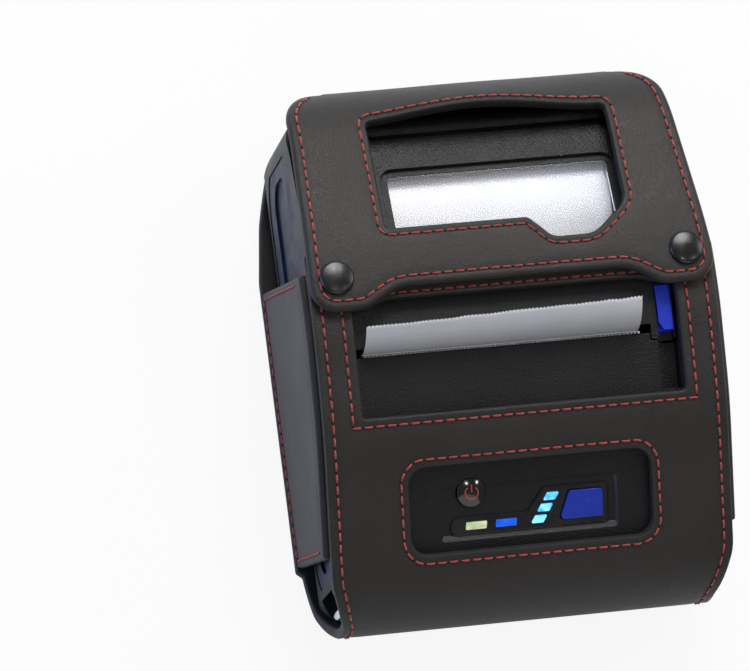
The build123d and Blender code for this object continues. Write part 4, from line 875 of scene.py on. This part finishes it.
def gusset(side, sign):
    """Side panel between the front and back leather, flat against the machine."""

    def lay(y, z, h):
        x = sign * (HALF_WIDTH + 0.5 + LEATHER / 2 + h)
        return np.stack([x + 0 * y, y, z + LIFT], -1)

    s = np.linspace(0, AROUND, 900)
    y, z, ny, nz = outline_at(s)
    ring = np.stack([y + 0.45 * ny, z + 0.45 * nz], 1)
    far, near = (
        back + (top - back) / GUSSET_HIGH * ring[:, 1] for back, top in (GUSSET_FAR, GUSSET_NEAR)
    )
    keep = (ring[:, 0] < far) & (ring[:, 0] > near)
    outer = resample(ring[keep], 0.6)
    if sign < 0:
        outer = outer[::-1]
    limit = np.interp(outer[:, 0], [-60, -44, -18, 2, 20], [25, 27.5, 38, 41.5, 39])
    front = outer[limit < outer[:, 1]]
    front = front[np.argsort(front[:, 0])]
    inner = inset(outer, 1.6)
    seams = runs(inner, distance_to(inner, front, closed=False) > 2.2)
    fold = front - np.array((0.0, 2.4))
    fold = seam_line(fold[(fold[:, 0] > -38) & (fold[:, 0] < 12)])
    name = f"gusset_{side}"
    piece = panel(name + "_leather", [(outer, 0.7)], lay, grid=(1.6, 1.6), lines=seams + [fold])
    if sign > 0:
        piece.data.flip_normals()
    dress(piece, "machine", SLOTS["case_leather"], [name])
    threads = sew(name + "_seam", [(seam, False) for seam in seams], lay, LEATHER / 2, "machine")


SNAP_PROFILE = [
    (3.6, -0.3), (3.6, 0.35), (3.48, 0.66), (3.2, 0.86), (2.95, 0.95), (2.0, 1.17), (1.0, 1.3)
]
SNAP_TOP = 1.34


def along_skin(s):
    """Unit direction of the outline at arc length s."""
    ny, nz = outline_at(s)[2:]
    return np.array((0.0, nz, -ny))


def snap_caps():
    """The press studs' caps: flat domes with a rounded rim."""
    sides = 48
    angles = 2 * pi * np.arange(sides) / sides
    skin = FLAP_D + LEATHER
    s = front_s(SNAP_Y, skin)
    points, faces = [], []
    for x in (-SNAP_X, SNAP_X):
        start = len(points)
        for radius, height in SNAP_PROFILE:
            d = skin + height
            across, along = radius * np.cos(angles), radius * np.sin(angles)
            points += list(place(x + across, s + 0 * across, d) + along_skin(s) * along[:, None])
        for k in range(len(SNAP_PROFILE) - 1):
            for j in range(sides):
                a, b = start + k * sides + j, start + k * sides + (j + 1) % sides
                faces.append((a, b, b + sides, a + sides))
        last = len(points)
        points += [place(x, s, skin + SNAP_TOP), place(x, s, skin + SNAP_PROFILE[0][1])]
        for j in range(sides):
            n = (j + 1) % sides
            faces.append((last - sides + j, last - sides + n, last))
            faces.append((start + n, start + j, last + 1))
    caps = mesh_piece("snap_domes", points, faces)
    dress(caps, "flap", SLOTS["snap_black"], ["snap_caps"])


def strap_loop(side, sign):
    """Bent wire that bridges the pocket at a near corner."""
    x, y, z = 33.7, -45.7, 16.7
    out, half_span, wire = 5.2, 4.0, 1.0
    turn = np.radians(np.linspace(-90, 90, 25))
    reach = out * np.cos(turn) ** 0.5
    path = np.stack([sign * (x + reach), y - reach, z + half_span * np.sin(turn)], 1)
    points, faces = tube(path, [wire] * len(path), np.array((-sign * 0.707, -0.707, 0)), 16)
    loop = mesh_piece(f"strap_wire_{side}", points, faces)
    dress(loop, "machine", SLOTS["loop_chrome"], [f"strap_loop_{side}"])


PANEL_Y, PANEL_TURN = -35.5, radians(23.2)
POWER_U, POWER_V = -12.0, 4.2


def on_panel(u, v, h):
    """Points of the operation panel: across, up the slope and out of the skin."""
    y, z = outline_at(front_s(PANEL_Y, 0))[:2]
    u, v, h = np.broadcast_arrays(np.asarray(u, float), v, h)
    y = y + v * cos(PANEL_TURN) - h * sin(PANEL_TURN)
    z = z + v * sin(PANEL_TURN) + h * cos(PANEL_TURN) + LIFT
    return np.stack([u, y, z], -1)


def power_symbol():
    """Broken ring and bar on the domed button."""
    angles = np.radians(np.linspace(128, 412, 40))
    ring = 1.35 * np.stack([np.cos(angles), np.sin(angles)], 1)
    bar = np.stack([np.zeros(6), np.linspace(0.1, 1.75, 6)], 1)
    points, faces = [], []
    normal = on_panel(0, 0, 1) - on_panel(0, 0, 0)
    for line in (ring, bar):
        dome = 0.52 - (line**2).sum(1) / 18
        path = on_panel(POWER_U + line[:, 0], POWER_V + line[:, 1], dome)
        rings, sides = tube(path, [0.17] * len(path), normal)
        start = len(points)
        points += rings
        faces += [tuple(start + i for i in f) for f in sides]
    symbol = mesh_piece("power_symbol", points, faces)
    dress(symbol, "power_key", PRINT_RED)


def inlay_rim():
    """Raised line round the glossy inlay."""
    points = [(-16.5, -4.6), (16.8, -4.6), (16.8, 3.75), (3.2, 3.75), (-0.4, -1.1), (-16.5, -1.1)]
    loop = rounded(points, [1.4, 1.0, 1.0, 0.8, 1.0, 1.4], 0.4)
    path = on_panel(loop[:, 0], loop[:, 1], -0.3)
    normal = on_panel(0, 0, 1) - on_panel(0, 0, 0)
    path = np.concatenate([path, path[:2]])
    rings, faces = tube(path, [0.16] * len(path), normal)
    rim = mesh_piece("inlay_rim", rings, faces)
    dress(rim, "machine", SLOTS["shell_black"])


def tray_bevel():
    """Sloping walls at the near and right sides of the panel's tray, drawn lighter than the black
    shell: painted light.
    """
    half, low, high = 18.8, -5.8, 5.8
    outer = [(-half, low), (half, low), (half, high)]
    inner = [(-half + 0.6, low + 1.25), (half - 0.55, low + 1.25), (half - 0.55, high)]
    points, faces = [], []
    for k, (a, b) in enumerate(zip(outer, inner)):
        points += [on_panel(*a, 0.02), on_panel(*b, -0.48), on_panel(*a, -0.7), on_panel(*b, -0.7)]
    for k in range(2):
        a, b = 4 * k, 4 * (k + 1)
        faces += [(a, a + 1, b + 1, b), (a + 2, b + 2, b + 3, a + 3)]
        faces += [(a, b, b + 2, a + 2), (a + 1, a + 3, b + 3, b + 1)]
    faces += [(0, 2, 3, 1), (8, 9, 11, 10)]
    bevel = mesh_piece("tray_bevel", points, faces, smooth=False)
    dress(bevel, "machine", TRAY_WALL_PAINTED_LIGHT)


def torn_paper():
    """The paper that stands out of the slot, torn along the serrated bar."""
    left, right, low_y, low_z, top_z = -32.5, 25.5, -2.66, 45.75, 54.9
    across = np.arange(left, right + 0.01, 0.2)
    share = (across - left) / (right - left)
    teeth = np.abs((across / 0.8) % 1 - 0.5) * 2
    rng = np.random.default_rng(5)
    wander = np.interp(across, np.linspace(left, right, 26), rng.uniform(-0.12, 0.12, 26))
    turn = np.radians(50 + 14 * share)
    radius = (top_z - 0.55 - low_z) / np.sin(turn)
    turn = turn + (0.5 * teeth - 0.45 + wander) / radius
    rows = np.linspace(0, 1, 18)
    angle = rows[:, None] * turn[None]
    y = low_y + radius * (1 - np.cos(angle))
    z = np.minimum(low_z + radius * np.sin(angle), top_z)
    x = across[None] + 0 * y
    out = np.stack([0 * y, -np.cos(angle), np.sin(angle)], -1)
    front = np.stack([x, y, z], -1) + out * 0.04
    back = front - out * 0.08
    count = len(across)
    points = np.concatenate([front.reshape(-1, 3), back.reshape(-1, 3)])
    size = front.shape[0] * count
    faces = []
    for i in range(len(rows) - 1):
        for j in range(count - 1):
            a, b = i * count + j, (i + 1) * count + j
            faces += [(a, a + 1, b + 1, b), (size + a, size + b, size + b + 1, size + a + 1)]
    edge = [(len(rows) - 1) * count + j for j in range(count)]
    for a, b in zip(edge, edge[1:]):
        faces.append((a, b, size + b, size + a))
    for j in range(count - 1):
        faces.append((j + 1, j, size + j, size + j + 1))
    for i in range(len(rows) - 1):
        a, b = i * count, (i + 1) * count
        faces.append((a, b, size + b, size + a))
        a, b = a + count - 1, b + count - 1
        faces.append((b, a, size + a, size + b))
    tongue = mesh_piece("torn_paper", points, faces)
    # Painted shade: a weight of 1 at the tongue's foot, fading to 0 at three quarters of its
    # height.
    shade = tongue.data.attributes.new("painted_foot_shade", "FLOAT", "POINT")
    painted_foot_shade = np.repeat(np.clip(1 - rows / 0.75, 0, 1), count)
    shade.data.foreach_set("value", np.tile(painted_foot_shade, 2))
    dress(tongue, "lid", SLOTS["paper_white"], ["paper_tongue"])


RIGHT = Vector((0.97796, -0.12797, 0.16495))
UP = Vector((0.08745, 0.96855, 0.23293))
BACK = Vector((-0.18957, -0.21337, 0.95840))
AIM, DISTANCE = Vector((-24.62, 6.51, 22.0)), 1282.62


def camera():
    data = bpy.data.cameras.new("camera")
    data.lens, data.sensor_width = 294.9, 36.0
    data.clip_start, data.clip_end = 0.05, 30
    view = bpy.data.objects.new("camera", data)
    turn = Matrix((RIGHT, UP, BACK)).transposed()
    spot = (AIM + BACK * DISTANCE) * MM
    view.matrix_world = Matrix.Translation(spot) @ turn.to_4x4()
    bpy.context.scene.collection.objects.link(view)
    bpy.context.scene.camera = view


def light(name, place_at, size, power, colour=(1, 1, 1), aim=(0, 0, 0.02)):
    data = bpy.data.lights.new(name, "AREA")
    data.shape, data.size, data.energy, data.color = "DISK", size, power, colour
    lamp_object = bpy.data.objects.new(name, data)
    lamp_object.location = place_at
    ahead = Vector(aim) - Vector(place_at)
    lamp_object.rotation_euler = ahead.to_track_quat("-Z", "Y").to_euler()
    bpy.context.scene.collection.objects.link(lamp_object)


def world():
    bpy.context.scene.view_settings.view_transform = "Standard"
    sky = bpy.data.worlds.new("studio")
    bpy.context.scene.world = sky
    sky.use_nodes = True
    nodes, links = sky.node_tree.nodes, sky.node_tree.links
    nodes.clear()
    out = nodes.new("ShaderNodeOutputWorld")
    soft, seen = nodes.new("ShaderNodeBackground"), nodes.new("ShaderNodeBackground")
    soft.inputs[0].default_value = (0.94, 0.96, 1.0, 1)
    soft.inputs[1].default_value = 0.14
    seen.inputs[0].default_value = (1, 1, 1, 1)
    path = nodes.new("ShaderNodeLightPath")
    clear, mirrored, most = (nodes.new("ShaderNodeMath") for _ in range(3))
    clear.operation, mirrored.operation, most.operation = "MAXIMUM", "MULTIPLY", "MAXIMUM"
    mirrored.inputs[1].default_value = 0.07
    links.new(path.outputs["Is Camera Ray"], clear.inputs[0])
    links.new(path.outputs["Is Transmission Ray"], clear.inputs[1])
    links.new(path.outputs["Is Glossy Ray"], mirrored.inputs[0])
    links.new(clear.outputs[0], most.inputs[0])
    links.new(mirrored.outputs[0], most.inputs[1])
    mixed = nodes.new("ShaderNodeMixShader")
    links.new(most.outputs[0], mixed.inputs[0])
    links.new(soft.outputs[0], mixed.inputs[1])
    links.new(seen.outputs[0], mixed.inputs[2])
    links.new(mixed.outputs[0], out.inputs[0])


def floor():
    """A pale table that shows nearly white and keeps the object's shadow."""
    points = [(-3000, -3000, 0), (3000, -3000, 0), (3000, 3000, 0), (-3000, 3000, 0)]
    table = mesh_piece("table", points, [(0, 1, 2, 3)])
    s = Shader("table_pale")
    fine = s.noise(40.0)
    colour = s.colours(fine, (0.80, 0.80, 0.80), (0.84, 0.84, 0.84))
    lit = s.principled(Base_Color=colour, Roughness=0.7)
    white = s.add("ShaderNodeEmission", {"Strength": 1.0})
    rays = s.add("ShaderNodeLightPath").outputs
    seen = s.math("MAXIMUM", rays["Is Camera Ray"], rays["Is Transmission Ray"])
    mirrored = s.math("MULTIPLY", rays["Is Glossy Ray"], 0.2)
    share = s.math("MULTIPLY", s.math("MAXIMUM", seen, mirrored), 0.9)
    mixed = s.add("ShaderNodeMixShader", {0: share, 1: lit.outputs[0], 2: white.outputs[0]})
    table.data.materials.append(s.finish(mixed))


dress_cad_nodes()
case_wrap()
case_flap()
flap_band()
gusset("left", -1)
gusset("right", 1)
snap_caps()
strap_loop("left", -1)
strap_loop("right", 1)
power_symbol()
inlay_rim()
tray_bevel()
torn_paper()
camera()
world()
floor()
light("key", (0.1, 1.0, 1.0), 0.8, 16.5)
light("fill", (1.0, 0.3, 0.7), 0.7, 4)
light("side", (-0.9, 0.1, 0.26), 0.6, 4.4, (0.28, 0.46, 1.0))
light("front", (0, -1.0, 0.45), 1.2, 2.8)
light("spark_left", (-0.02, -0.2, 1.2), 0.12, 0.7)
light("spark_right", (0.55, -0.18, 1.1), 0.12, 0.7)
